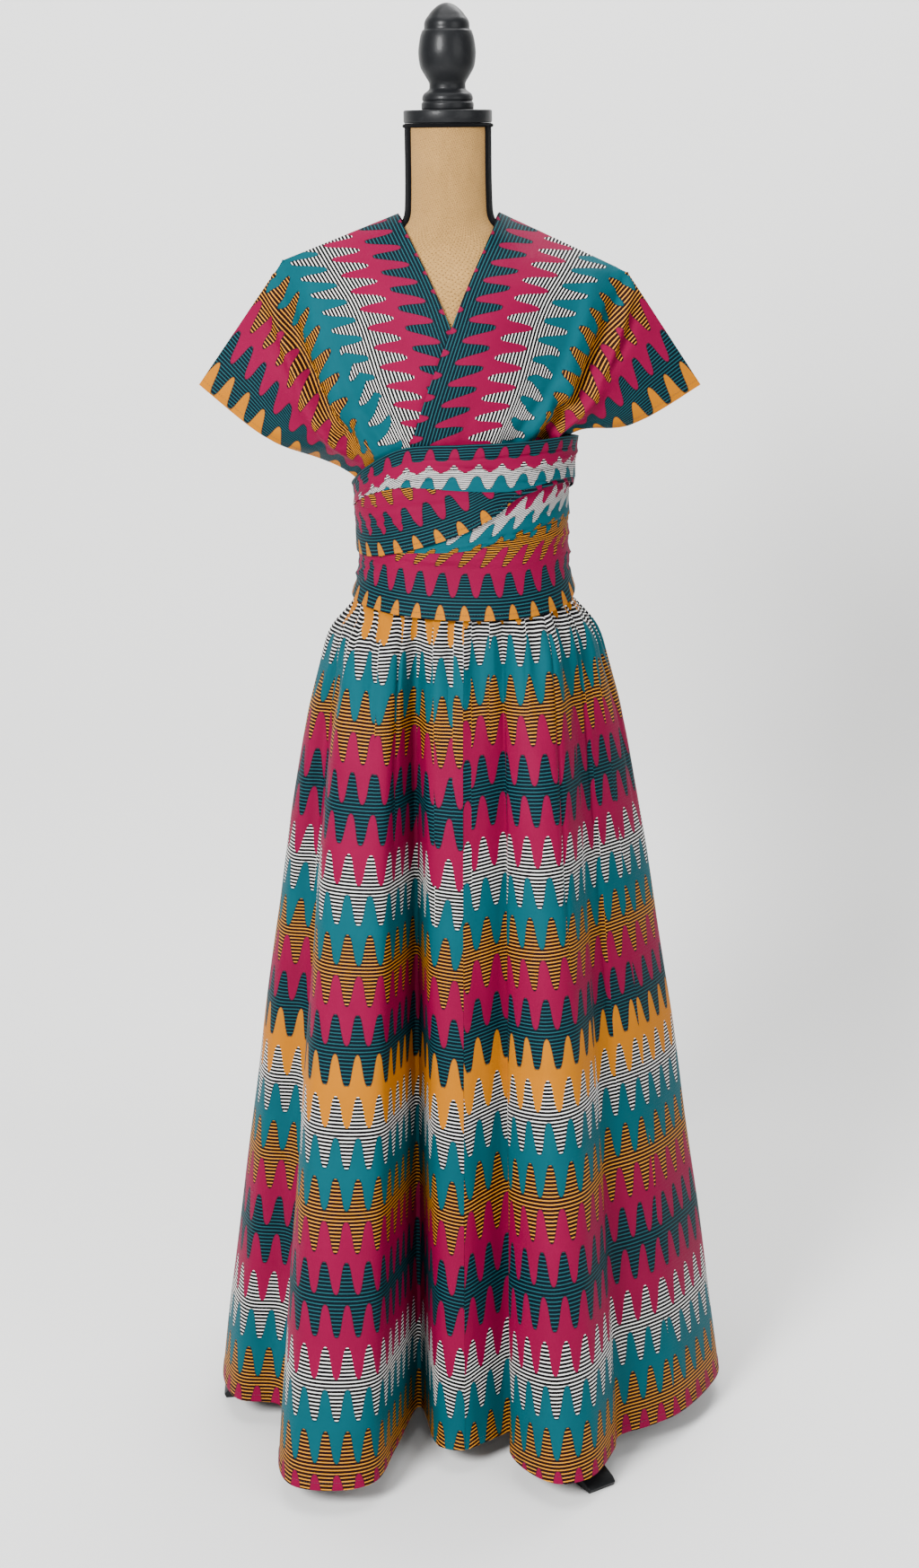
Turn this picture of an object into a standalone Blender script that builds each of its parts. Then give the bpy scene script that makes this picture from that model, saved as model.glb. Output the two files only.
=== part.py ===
"""A long wrap dress of printed cotton on a limbless dress form with a stand.

Metres, +Z up, the front towards -Y. The origin is on the floor under the middle of the
hem. Left and right are the wearer's, so left is +X. Each piece of cloth is a grid of
points on its outer face, which gets an inner face one wall further in.
"""

import math
from collections import namedtuple

import bpy
from mathutils import Vector

# Cloth
WALL = 0.0020
SEAM_GAP = 0.0003
LAYER = WALL + 0.0016

# Where the form's axis stands, and the middle of the wound waist, along X
FORM_X = -0.008
WAIST_X = 0.005

# Skirt
SKIRT_TOP_Z = 1.058
SKIRT_HEM_Z = 0.033
HEM_SHIFT = 0.0035
PANEL_STEPS = 58
GATHERS_ROUND = 22
GATHER_DEPTH = 0.0040
GATHER_Z = 0.985
GATHER_REACH = 0.085
GATHER_DRIFT = 0.9

# Above this height the skirt's top closes in on the waistband, whose own half-width is
# the second value
SEWN_Z = 1.010
SEWN_HALF_WIDTH = 0.0966

# Waistband
BAND_BOTTOM_Z = 1.045
BAND_TOP_Z = 1.085
BAND_WALL = 0.0025
BAND_EASE = 0.0007
BAND_STEPS = 40

# Straps
STRAP_END_Z = BAND_TOP_Z + SEAM_GAP
STRAP_EASE = 0.0031
STRAP_ACROSS = 14
STRAP_ALONG = 11
CREASE_WAVES = 3.5
CREASE_DEPTH = 0.0035
CREASE_LOW_Z = 1.185
CREASE_RISE = 0.050
CREASE_START = 0.50
CREASE_FADE = 0.20
HULL_STEPS = 24
SHOULDER_CROWDING = 1.3
NECK_POINT = (0.0565, 1.4530)
SHOULDER_CORNER = {"left": (0.2000, 1.3860), "right": (0.1870, 1.4030)}
WING_TIP = {"left": (0.2840, 1.2600), "right": (0.2860, 1.2660)}

# Wraps round the waist
WRAP_STEPS = 56
WRAP_RISE = 6
TUCK_DEPTH = 0.0022
TUCK_TURNS = 2.5
TUCK_CLIMB = 0.9

# Dress form
FORM_STEPS = 40
NECK_TOP_Z = 1.5490
DISC_RADIUS = 0.0490
DISC_TOP_Z = 1.5630
FINIAL_TOP_Z = 1.6700
TURNED_STEPS = 22

# Stand
POLE_RADIUS = 0.0125
HUB_RADIUS = 0.0300
HUB_BOTTOM_Z = 0.1150
HUB_TOP_Z = 0.1750
LEG_WIDTH = 0.0390
LEG_REACH = 0.3020
LEG_AZIMUTHS = (-57.0, 63.0, 183.0)

# Half-width of the skirt at each height, from the photo's outline
SkirtRow = namedtuple("SkirtRow", "z half_width")
SKIRT_OUTLINE = (
    SkirtRow(SKIRT_TOP_Z, 0.1027),
    SkirtRow(1.042, 0.1090),
    SkirtRow(1.026, 0.1192),
    SkirtRow(1.010, 0.1303),
    SkirtRow(0.981, 0.1540),
    SkirtRow(0.938, 0.1690),
    SkirtRow(0.880, 0.1860),
    SkirtRow(0.790, 0.2030),
    SkirtRow(0.660, 0.2240),
    SkirtRow(0.500, 0.2485),
    SkirtRow(0.340, 0.2710),
    SkirtRow(0.180, 0.2940),
    SkirtRow(SKIRT_HEM_Z, 0.3130),
)
WAIST_HALF_WIDTH = 0.1180
WAIST_HALF_DEPTH = 0.0960
HEM_HALF_WIDTH = 0.3130

# Each fold of the hem: the angle at the waist that it falls from, and its place at the
# hem. Angles run from the centre front towards the wearer's left.
FoldRow = namedtuple("FoldRow", "name waist_angle x y")
SKIRT_FOLDS = (
    FoldRow("centre front seam", 0, -0.0085, -0.2165),
    FoldRow("centre panel, left part", 10, 0.0160, -0.1990),
    FoldRow("valley beside the left column", 20, 0.0480, -0.1790),
    FoldRow("left column, inner edge", 24, 0.0450, -0.2260),
    FoldRow("left column, inner turn", 30, 0.0680, -0.2690),
    FoldRow("left column, front", 38, 0.1020, -0.2930),
    FoldRow("left column, outer turn", 47, 0.1420, -0.2750),
    FoldRow("left column, outer edge", 55, 0.1680, -0.2200),
    FoldRow("valley outside the left column", 63, 0.1760, -0.1890),
    FoldRow("left side, front", 74, 0.2150, -0.1670),
    FoldRow("left side, ridge", 84, 0.2560, -0.1340),
    FoldRow("left side, turn", 91, 0.2960, -0.0750),
    FoldRow("left side", 98, 0.3130, -0.0250),
    FoldRow("left side, back turn", 106, 0.3010, 0.0500),
    FoldRow("left side, back", 114, 0.2600, 0.1000),
    FoldRow("valley in the left back", 122, 0.2020, 0.1080),
    FoldRow("left back column, outer edge", 128, 0.2200, 0.1900),
    FoldRow("left back column", 138, 0.1860, 0.2780),
    FoldRow("left back column, inner turn", 149, 0.1020, 0.2880),
    FoldRow("left back column, inner edge", 156, 0.0560, 0.2150),
    FoldRow("valley left of the back seam", 161, 0.0300, 0.1520),
    FoldRow("centre back, left part", 168, 0.0130, 0.2180),
    FoldRow("centre back seam", 180, -0.0050, 0.2450),
    FoldRow("centre back, right part", 190, -0.0480, 0.2200),
    FoldRow("valley right of the back seam", 197, -0.0700, 0.1640),
    FoldRow("right back column, inner edge", 202, -0.0880, 0.2150),
    FoldRow("right back column", 211, -0.1280, 0.2950),
    FoldRow("right back column, outer turn", 222, -0.1960, 0.2800),
    FoldRow("right back column, outer edge", 231, -0.2180, 0.2000),
    FoldRow("valley in the right back", 237, -0.2240, 0.1600),
    FoldRow("right side, back", 246, -0.2580, 0.1100),
    FoldRow("right side, back turn", 255, -0.3020, 0.0550),
    FoldRow("right side", 263, -0.3130, -0.0250),
    FoldRow("right side, turn", 268, -0.2900, -0.0930),
    FoldRow("right side, front", 273, -0.2400, -0.1060),
    FoldRow("valley outside the right column", 279, -0.2130, -0.1500),
    FoldRow("right column, outer edge", 285, -0.2280, -0.2250),
    FoldRow("right column, outer turn", 293, -0.2120, -0.2860),
    FoldRow("right column, front", 306, -0.1620, -0.3010),
    FoldRow("right column, inner turn", 319, -0.1120, -0.2820),
    FoldRow("right column, inner edge", 327, -0.0900, -0.2100),
    FoldRow("deep valley", 333, -0.0640, -0.1150),
    FoldRow("centre panel, right edge", 338, -0.0450, -0.1950),
    FoldRow("centre panel, right part", 350, -0.0320, -0.2140),
)

# Sections of the form: half-width, and how far it reaches to the front and the back
FormRow = namedtuple("FormRow", "z half_width front back")
FORM_SECTIONS = (
    FormRow(0.800, 0.1180, 0.0900, 0.0920),
    FormRow(0.860, 0.1280, 0.0980, 0.1000),
    FormRow(0.920, 0.1260, 0.0980, 0.1000),
    FormRow(0.980, 0.1120, 0.0920, 0.0930),
    FormRow(1.030, 0.0980, 0.0840, 0.0840),
    FormRow(1.045, 0.0960, 0.0820, 0.0820),
    FormRow(1.100, 0.0960, 0.0820, 0.0820),
    FormRow(1.165, 0.0980, 0.0860, 0.0830),
    FormRow(1.210, 0.1060, 0.0930, 0.0860),
    FormRow(1.270, 0.1260, 0.1020, 0.0890),
    FormRow(1.330, 0.1370, 0.0960, 0.0880),
    FormRow(1.372, 0.1380, 0.0790, 0.0780),
    FormRow(1.400, 0.1220, 0.0585, 0.0595),
    FormRow(1.418, 0.0940, 0.0480, 0.0490),
    FormRow(1.432, 0.0680, 0.0470, 0.0480),
    FormRow(1.444, 0.0530, 0.0470, 0.0470),
    FormRow(1.460, 0.0490, 0.0470, 0.0470),
    FormRow(NECK_TOP_Z, 0.0480, 0.0470, 0.0470),
)

# A strap's lines from the waistband to the shoulder, at five places across it, as seen
# from the front, with x towards the strap's own side
StrapRow = namedtuple("StrapRow", "across band_x waist_x waist_z chest_x chest_z")
STRAP_ROWS = {
    "left": (
        StrapRow(0.00, -0.0650, -0.0460, 1.2030, 0.0080, 1.3360),
        StrapRow(0.25, -0.0290, 0.0000, 1.2030, 0.0640, 1.3140),
        StrapRow(0.50, 0.0080, 0.0480, 1.2040, 0.1210, 1.2950),
        StrapRow(0.75, 0.0450, 0.0900, 1.2060, 0.1650, 1.2600),
        StrapRow(1.00, 0.0800, 0.1290, 1.2060, 0.2020, 1.2180),
    ),
    "right": (
        StrapRow(0.00, -0.0650, -0.0460, 1.2030, 0.0040, 1.3300),
        StrapRow(0.25, -0.0290, -0.0050, 1.1980, 0.0620, 1.3120),
        StrapRow(0.50, 0.0080, 0.0400, 1.1900, 0.1190, 1.2900),
        StrapRow(0.75, 0.0450, 0.0800, 1.1740, 0.1650, 1.2480),
        StrapRow(1.00, 0.0780, 0.1050, 1.1580, 0.2040, 1.2050),
    ),
}

# How wide each strap's wing stands at each height, out to where its front and its back
# would meet
WingRow = namedtuple("WingRow", "z left right")
WING_OUTLINE = (
    WingRow(1.453, 0.0565, 0.0565),
    WingRow(1.403, 0.1636, 0.1870),
    WingRow(1.386, 0.2000, 0.1993),
    WingRow(1.266, 0.2800, 0.2860),
    WingRow(1.235, 0.2920, 0.2930),
    WingRow(1.216, 0.2500, 0.2900),
    WingRow(1.207, 0.1750, 0.2700),
    WingRow(1.198, 0.1600, 0.2450),
    WingRow(1.185, 0.1470, 0.1720),
    WingRow(1.170, 0.1370, 0.1360),
    WingRow(1.150, 0.1280, 0.1270),
    WingRow(1.120, 0.1200, 0.1220),
    WingRow(1.085, 0.1120, 0.1120),
)

# Edges of the wound waist, and how far out it stands: angles from the centre front
# towards the wearer's left
WrapRow = namedtuple("WrapRow", "angle top_z bottom_z")
UPPER_WRAP_EDGES = (
    WrapRow(-90, 1.152, 1.078),
    WrapRow(-60, 1.176, 1.076),
    WrapRow(-30, 1.203, 1.088),
    WrapRow(0, 1.208, 1.108),
    WrapRow(30, 1.209, 1.138),
    WrapRow(60, 1.210, 1.148),
    WrapRow(90, 1.204, 1.140),
    WrapRow(135, 1.200, 1.120),
    WrapRow(180, 1.204, 1.104),
    WrapRow(225, 1.172, 1.090),
)
LOWER_WRAP_EDGES = (
    WrapRow(-90, 1.095, 1.026),
    WrapRow(-60, 1.094, 1.020),
    WrapRow(-30, 1.106, 1.015),
    WrapRow(0, 1.126, 1.012),
    WrapRow(30, 1.155, 1.012),
    WrapRow(60, 1.164, 1.018),
    WrapRow(90, 1.156, 1.032),
    WrapRow(135, 1.137, 1.030),
    WrapRow(180, 1.121, 1.020),
    WrapRow(225, 1.107, 1.024),
)
GirthRow = namedtuple("GirthRow", "z half_width half_depth")
UPPER_WRAP_GIRTH = (
    GirthRow(1.215, 0.1347, 0.1077),
    GirthRow(1.195, 0.1312, 0.1065),
    GirthRow(1.160, 0.1277, 0.1042),
    GirthRow(1.120, 0.1250, 0.1026),
    GirthRow(1.070, 0.1242, 0.1020),
)
LOWER_WRAP_GIRTH = (
    GirthRow(1.170, 0.1217, 0.0988),
    GirthRow(1.120, 0.1212, 0.0984),
    GirthRow(1.076, 0.1212, 0.0987),
    GirthRow(1.045, 0.1246, 0.1015),
    GirthRow(1.025, 0.1310, 0.1080),
    GirthRow(1.010, 0.1362, 0.1130),
)

# The turned finial: height above the disc, and radius
TurnedRow = namedtuple("TurnedRow", "height radius")
FINIAL_PROFILE = (
    TurnedRow(0.0000, 0.0280),
    TurnedRow(0.0050, 0.0285),
    TurnedRow(0.0080, 0.0255),
    TurnedRow(0.0110, 0.0270),
    TurnedRow(0.0160, 0.0262),
    TurnedRow(0.0220, 0.0195),
    TurnedRow(0.0260, 0.0190),
    TurnedRow(0.0330, 0.0225),
    TurnedRow(0.0450, 0.0285),
    TurnedRow(0.0570, 0.0308),
    TurnedRow(0.0690, 0.0300),
    TurnedRow(0.0790, 0.0268),
    TurnedRow(0.0850, 0.0242),
    TurnedRow(0.0900, 0.0215),
    TurnedRow(0.0960, 0.0180),
    TurnedRow(0.1020, 0.0110),
)


def clear_scene():
    for obj in list(bpy.data.objects):
        bpy.data.objects.remove(obj, do_unlink=True)


def finish(name, colour, roughness):
    """A Principled material of one plain colour."""
    material = bpy.data.materials.new(name)
    material.use_nodes = True
    shader = material.node_tree.nodes["Principled BSDF"]
    shader.inputs["Base Color"].default_value = (*colour, 1.0)
    shader.inputs["Roughness"].default_value = roughness
    return material


def add_object(name, points, faces, material):
    """A named object at the scene's origin, smooth but for its sharp edges."""
    mesh = bpy.data.meshes.new(name)
    mesh.from_pydata([tuple(point) for point in points], [], faces)
    mesh.validate()
    mesh.materials.append(material)
    mesh.shade_smooth()
    mesh.set_sharp_from_angle(angle=math.radians(50))
    obj = bpy.data.objects.new(name, mesh)
    bpy.context.scene.collection.objects.link(obj)
    return obj


def read_table(rows, key, value, at):
    """A column of a table at any place along it, by a smooth curve through its rows."""
    keys = [getattr(row, key) for row in rows]
    values = [getattr(row, value) for row in rows]
    if keys[0] > keys[-1]:
        keys.reverse()
        values.reverse()
    at = min(max(at, keys[0]), keys[-1])
    index = max(i for i in range(len(keys) - 1) if keys[i] <= at)
    span = keys[index + 1] - keys[index]
    share = (at - keys[index]) / span
    slope = [slope_at(keys, values, i) * span for i in (index, index + 1)]
    return hermite(values[index], values[index + 1], slope[0], slope[1], share)


def slope_at(keys, values, index):
    """Slope of a smooth curve through a table at one of its rows."""
    before = max(index - 1, 0)
    after = min(index + 1, len(keys) - 1)
    return (values[after] - values[before]) / (keys[after] - keys[before])


def hermite(start, end, start_slope, end_slope, share):
    square = share * share
    cube = square * share
    return (
        start * (2 * cube - 3 * square + 1)
        + start_slope * (cube - 2 * square + share)
        + end * (3 * square - 2 * cube)
        + end_slope * (cube - square)
    )


def spline_point(points, share):
    """A point of the smooth curve through a list of vectors, at a share of its length."""
    last = len(points) - 1
    index = min(int(share * last), last - 1)
    here = share * last - index
    start, end = points[index], points[index + 1]
    start_slope = (end - points[index - 1]) / 2 if index else end - start
    end_slope = (points[index + 2] - start) / 2 if index + 2 <= last else end - start
    return hermite(start, end, start_slope, end_slope, here)


def around(rows, angle):
    """The rows of a table of angles, closed into a ring, as one turn from the angle."""
    first = rows[0]
    closing = [row._replace(angle=row.angle + 360) for row in rows[:2]]
    opening = [row._replace(angle=row.angle - 360) for row in rows[-2:]]
    turned = (angle - first.angle) % 360 + first.angle
    return opening + list(rows) + closing, turned


def grid_normals(grid, ring):
    """The outward normal at each point of a grid, from its neighbours."""
    rows, columns = len(grid), len(grid[0])
    normals = []
    for i in range(rows):
        line = []
        for j in range(columns):
            if ring:
                before, after = grid[i][j - 1], grid[i][(j + 1) % columns]
            else:
                before, after = grid[i][max(j - 1, 0)], grid[i][min(j + 1, columns - 1)]
            below, above = grid[min(i + 1, rows - 1)][j], grid[max(i - 1, 0)][j]
            line.append((after - before).cross(above - below).normalized())
        normals.append(line)
    return normals


def cloth(name, grid, material, ring=False, wall=WALL, normals=None):
    """A wall of cloth from a grid of points on its outer face.

    The rows run down and the columns towards the wearer's left as seen from the front,
    so that the normals point out. A ring closes its last column to its first.
    """
    rows, columns = len(grid), len(grid[0])
    normals = normals or grid_normals(grid, ring)
    outer = [point for line in grid for point in line]
    inner = [
        point - normal * wall
        for line, line_normals in zip(grid, normals)
        for point, normal in zip(line, line_normals)
    ]
    count = len(outer)

    def at(i, j):
        return i * columns + j % columns

    faces = []
    for i in range(rows - 1):
        for j in range(columns if ring else columns - 1):
            corners = (at(i, j), at(i + 1, j), at(i + 1, j + 1), at(i, j + 1))
            faces.append(corners)
            faces.append(tuple(count + corner for corner in reversed(corners)))
    for j in range(columns if ring else columns - 1):
        top = (at(0, j), at(0, j + 1))
        bottom = (at(rows - 1, j + 1), at(rows - 1, j))
        for start, end in (top, bottom):
            faces.append((start, end, count + end, count + start))
    if not ring:
        for i in range(rows - 1):
            first = (at(i + 1, 0), at(i, 0))
            last = (at(i, columns - 1), at(i + 1, columns - 1))
            for start, end in (first, last):
                faces.append((start, end, count + end, count + start))
    return add_object(name, outer + inner, faces, material)


def turned(name, profile, centre_x, material, steps=TURNED_STEPS):
    """A solid turned about a vertical axis from rows of (z, radius), bottom first."""
    points = [Vector((centre_x, 0, profile[0][0]))]
    for z, radius in profile:
        for step in range(steps):
            angle = math.tau * step / steps
            x, y = centre_x + radius * math.cos(angle), radius * math.sin(angle)
            points.append(Vector((x, y, z)))
    points.append(Vector((centre_x, 0, profile[-1][0])))
    faces = []
    for step in range(steps):
        after = (step + 1) % steps
        faces.append((0, 1 + after, 1 + step))
        for row in range(len(profile) - 1):
            low, high = 1 + row * steps, 1 + (row + 1) * steps
            faces.append((low + step, low + after, high + after, high + step))
        top = 1 + (len(profile) - 1) * steps
        faces.append((len(points) - 1, top + step, top + after))
    return add_object(name, points, faces, material)


def form_section(z, angle, ease=0.0):
    """A point of the form's skin, pushed out by an ease: angle 0 faces the front."""
    half_width = read_table(FORM_SECTIONS, "z", "half_width", z) + ease
    side = "front" if math.cos(angle) > 0 else "back"
    depth = read_table(FORM_SECTIONS, "z", side, z) + ease
    return Vector((FORM_X + half_width * math.sin(angle), -depth * math.cos(angle), z))


def hem_curve():
    """The hem seen from above, from the centre front round to it, with waist angles."""
    rows = [*SKIRT_FOLDS, SKIRT_FOLDS[0]._replace(waist_angle=360)]
    samples = []
    fine = 8
    last = len(rows) - 1
    for index in range(last):
        before = rows[index - 1] if index else rows[last - 1]
        start, end = rows[index], rows[index + 1]
        after = rows[index + 2] if index + 2 <= last else rows[1]
        for step in range(fine):
            share = step / fine
            x = hermite(start.x, end.x, (end.x - before.x) / 2, (after.x - start.x) / 2, share)
            y = hermite(start.y, end.y, (end.y - before.y) / 2, (after.y - start.y) / 2, share)
            angle = start.waist_angle + (end.waist_angle - start.waist_angle) * share
            samples.append((x, y, angle))
    samples.append((rows[0].x, rows[0].y, 360.0))
    return samples


def along_hem(samples, first_angle, last_angle, steps):
    """Equal steps of cloth along the hem between two waist angles."""
    stretch = [sample for sample in samples if first_angle <= sample[2] <= last_angle]
    lengths = [0.0]
    for start, end in zip(stretch, stretch[1:]):
        lengths.append(lengths[-1] + math.dist(start[:2], end[:2]))
    found = []
    index = 0
    for step in range(steps + 1):
        wanted = lengths[-1] * step / steps
        while index < len(lengths) - 2 and lengths[index + 1] < wanted:
            index += 1
        share = (wanted - lengths[index]) / (lengths[index + 1] - lengths[index])
        found.append(
            tuple(a + (b - a) * share for a, b in zip(stretch[index], stretch[index + 1]))
        )
    return found, lengths[-1]


def skirt_point(hem, z):
    """A point of the skirt at a height, on the line from the waist to a place on the hem."""
    hem_x, hem_y, degrees = hem
    hem_x += HEM_SHIFT
    angle = math.radians(degrees)
    half_width = read_table(SKIRT_OUTLINE, "z", "half_width", z)
    spread = (half_width - WAIST_HALF_WIDTH) / (HEM_HALF_WIDTH - WAIST_HALF_WIDTH)
    sewn = min(max((z - SEWN_Z) / (SKIRT_TOP_Z - SEWN_Z), 0), 1)
    waist_x = WAIST_X + (FORM_X - WAIST_X) * sewn + WAIST_HALF_WIDTH * math.sin(angle)
    waist_y = -WAIST_HALF_DEPTH * math.cos(angle)
    if spread < 0:
        centre = WAIST_X + (FORM_X - WAIST_X) * sewn
        shrink = half_width / WAIST_HALF_WIDTH
        sewn_depth = read_table(FORM_SECTIONS, "z", "front", z) + half_width - SEWN_HALF_WIDTH
        depth = (1 - sewn) * WAIST_HALF_DEPTH * shrink + sewn * sewn_depth
        x = centre + half_width * math.sin(angle)
        y = -depth * math.cos(angle)
    else:
        x = waist_x + (hem_x - waist_x) * spread
        y = waist_y + (hem_y - waist_y) * spread
    away = abs(z - GATHER_Z) / GATHER_REACH
    gather = GATHER_DEPTH * math.exp(-away * away) * (1 - sewn)
    gather *= math.cos(GATHERS_ROUND * angle + GATHER_DRIFT * math.sin(3 * angle))
    return Vector((x + gather * math.sin(angle), y - gather * math.cos(angle), z))


def make_skirt(material):
    """The two skirt panels, a seam's gap apart at the centre front and centre back."""
    samples = hem_curve()
    left, left_length = along_hem(samples, 0, 180, PANEL_STEPS)
    right, right_length = along_hem(samples, 180, 360, PANEL_STEPS)
    print(f"hem of cloth: left {left_length:.3f} m, right {right_length:.3f} m")
    hems = left[:-1] + right[:-1]
    grid = [[skirt_point(hem, row.z) for hem in hems] for row in SKIRT_OUTLINE]
    normals = grid_normals(grid, ring=True)
    count = len(hems)
    for name, first in (("skirt_panel_left", 0), ("skirt_panel_right", PANEL_STEPS)):
        columns = [(first + step) % count for step in range(PANEL_STEPS + 1)]
        panel = [[line[column] for column in columns] for line in grid]
        panel_normals = [[line[column] for column in columns] for line in normals]
        for line, panel_line in zip(grid, panel):
            for end, column, inwards in ((0, columns[0], 1), (-1, columns[-1], -1)):
                along = (line[(column + 1) % count] - line[column - 1]).normalized()
                panel_line[end] = panel_line[end] + along * inwards * SEAM_GAP / 2
        cloth(name, panel, material, normals=panel_normals)


def make_waistband(material):
    """A plain band round the form's waist, inside the skirt's gathered top."""
    ease = BAND_EASE + BAND_WALL
    grid = [
        [form_section(z, math.tau * step / BAND_STEPS, ease) for step in range(BAND_STEPS)]
        for z in (BAND_TOP_Z, BAND_BOTTOM_Z)
    ]
    cloth("waistband", grid, material, ring=True, wall=BAND_WALL)


def shoulder_point(name, across):
    """A place on the fold over the shoulder, from the neck to the wing's tip."""
    neck, corner, tip = Vector(NECK_POINT), Vector(SHOULDER_CORNER[name]), Vector(WING_TIP[name])
    inner = (corner - neck).length
    reach = across * (inner + (tip - corner).length)
    if reach <= inner:
        return neck + (corner - neck) * reach / inner
    return corner + (tip - corner) * (reach - inner) / (tip - corner).length


def strap_depth(x, z, name, face, lift):
    """How far a strap stands before or behind the form's axis.

    It lies on the form, and leaves it on the straight line that touches the form and
    meets the edge of the wing.
    """
    ease = STRAP_EASE + WALL + lift
    half_width = read_table(FORM_SECTIONS, "z", "half_width", z) + ease
    depth = read_table(FORM_SECTIONS, "z", face, z) + ease
    reach = read_table(WING_OUTLINE, "z", name, z)
    x = abs(x)
    found = depth * math.sqrt(max(1 - (x / half_width) ** 2, 0.0))
    for step in range(HULL_STEPS):
        angle = math.pi / 2 * step / HULL_STEPS
        touch_x, touch_depth = half_width * math.sin(angle), depth * math.cos(angle)
        if touch_x <= x < reach:
            found = max(found, touch_depth * (reach - x) / (reach - touch_x))
    return found


def make_strap(name, side, lift, material):
    """A strap from the back of the waistband over the shoulder to its front."""
    rows = STRAP_ROWS[name]
    lines = []
    for column in range(STRAP_ACROSS + 1):
        across = column / STRAP_ACROSS
        band_x, waist_x, waist_z, chest_x, chest_z = (
            read_table(rows, "across", field, across) for field in StrapRow._fields[1:]
        )
        stations = [
            Vector((band_x, STRAP_END_Z)),
            Vector((waist_x, waist_z)),
            Vector((chest_x, chest_z)),
            shoulder_point(name, across),
        ]
        front = []
        back = []
        for step in range(STRAP_ALONG):
            share = 1 - (1 - step / STRAP_ALONG) ** SHOULDER_CROWDING
            x, z = spline_point(stations, share)
            front.append((x, -strap_depth(x, z, name, "front", lift), z))
            back.append((x, strap_depth(x, z, name, "back", lift), z))
        shoulder = shoulder_point(name, across)
        places = [*back, (shoulder[0], 0.0, shoulder[1]), *reversed(front)]
        lines.append([Vector((FORM_X + side * x, y, z)) for x, y, z in places])
    if side < 0:
        lines.reverse()
    grid = [list(line) for line in zip(*lines)]
    normals = grid_normals(grid, ring=False)
    steps = len(grid) - 1
    for i, line in enumerate(grid):
        along = i / steps
        swell = math.sin(math.pi * min(2 * along, 2 - 2 * along)) ** 2
        for j, point in enumerate(line):
            across = j / STRAP_ACROSS if side > 0 else 1 - j / STRAP_ACROSS
            free = min(max((across - CREASE_START) / CREASE_FADE, 0.0), 1.0)
            free *= min(max((point.z - CREASE_LOW_Z) / CREASE_RISE, 0.0), 1.0)
            wave = (1 - math.cos(math.tau * CREASE_WAVES * across)) / 2 * math.sin(math.pi * across)
            line[j] = point + normals[i][j] * CREASE_DEPTH * swell * wave * free
    cloth(f"strap_{name}", grid, material)


def wrap_grid(edges, girth):
    """A band wound round the waist, with soft tucks that climb to the wearer's left."""
    grid = []
    for row in range(WRAP_RISE + 1):
        line = []
        for step in range(WRAP_STEPS):
            degrees = 360 * step / WRAP_STEPS
            rows, turned_angle = around(edges, degrees)
            top_z = read_table(rows, "angle", "top_z", turned_angle)
            bottom_z = read_table(rows, "angle", "bottom_z", turned_angle)
            share = row / WRAP_RISE
            z = top_z + (bottom_z - top_z) * share
            half_width = read_table(girth, "z", "half_width", z)
            half_depth = read_table(girth, "z", "half_depth", z)
            angle = math.radians(degrees)
            climb = TUCK_CLIMB * math.sin(angle)
            wave = math.cos(math.tau * (share * TUCK_TURNS + climb))
            tuck = TUCK_DEPTH * wave * math.sin(math.pi * share)
            line.append(
                Vector(
                    (
                        WAIST_X + (half_width + tuck) * math.sin(angle),
                        -(half_depth + tuck) * math.cos(angle),
                        z,
                    )
                )
            )
        grid.append(line)
    return grid


def make_wraps(material):
    cloth("wrap_lower", wrap_grid(LOWER_WRAP_EDGES, LOWER_WRAP_GIRTH), material, ring=True)
    cloth("wrap_upper", wrap_grid(UPPER_WRAP_EDGES, UPPER_WRAP_GIRTH), material, ring=True)


def make_torso(material):
    """The dress form from its flat base to the top of its neck."""
    points = [Vector((FORM_X, 0, FORM_SECTIONS[0].z))]
    for row in FORM_SECTIONS:
        points += [form_section(row.z, math.tau * step / FORM_STEPS) for step in range(FORM_STEPS)]
    points.append(Vector((FORM_X, 0, FORM_SECTIONS[-1].z)))
    faces = []
    for step in range(FORM_STEPS):
        after = (step + 1) % FORM_STEPS
        faces.append((0, 1 + after, 1 + step))
        for row in range(len(FORM_SECTIONS) - 1):
            low, high = 1 + row * FORM_STEPS, 1 + (row + 1) * FORM_STEPS
            faces.append((low + step, low + after, high + after, high + step))
        top = 1 + (len(FORM_SECTIONS) - 1) * FORM_STEPS
        faces.append((len(points) - 1, top + step, top + after))
    add_object("form_torso", points, faces, material)


def make_neck_cap(material):
    """The disc on the neck and the finial that is turned to stand on it."""
    bottom = NECK_TOP_Z + SEAM_GAP
    disc = [
        (bottom, DISC_RADIUS - 0.001),
        (bottom + 0.002, DISC_RADIUS),
        (DISC_TOP_Z - 0.004, DISC_RADIUS),
        (DISC_TOP_Z, DISC_RADIUS - 0.004),
    ]
    turned("form_neck_disc", disc, FORM_X, material)
    foot = DISC_TOP_Z + SEAM_GAP
    stretch = (FINIAL_TOP_Z - foot) / (FINIAL_PROFILE[-1].height + 0.0045)
    finial = [(foot + row.height * stretch, row.radius) for row in FINIAL_PROFILE]
    finial.append((FINIAL_TOP_Z, 0.0025))
    turned("form_finial", finial, FORM_X, material)


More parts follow.
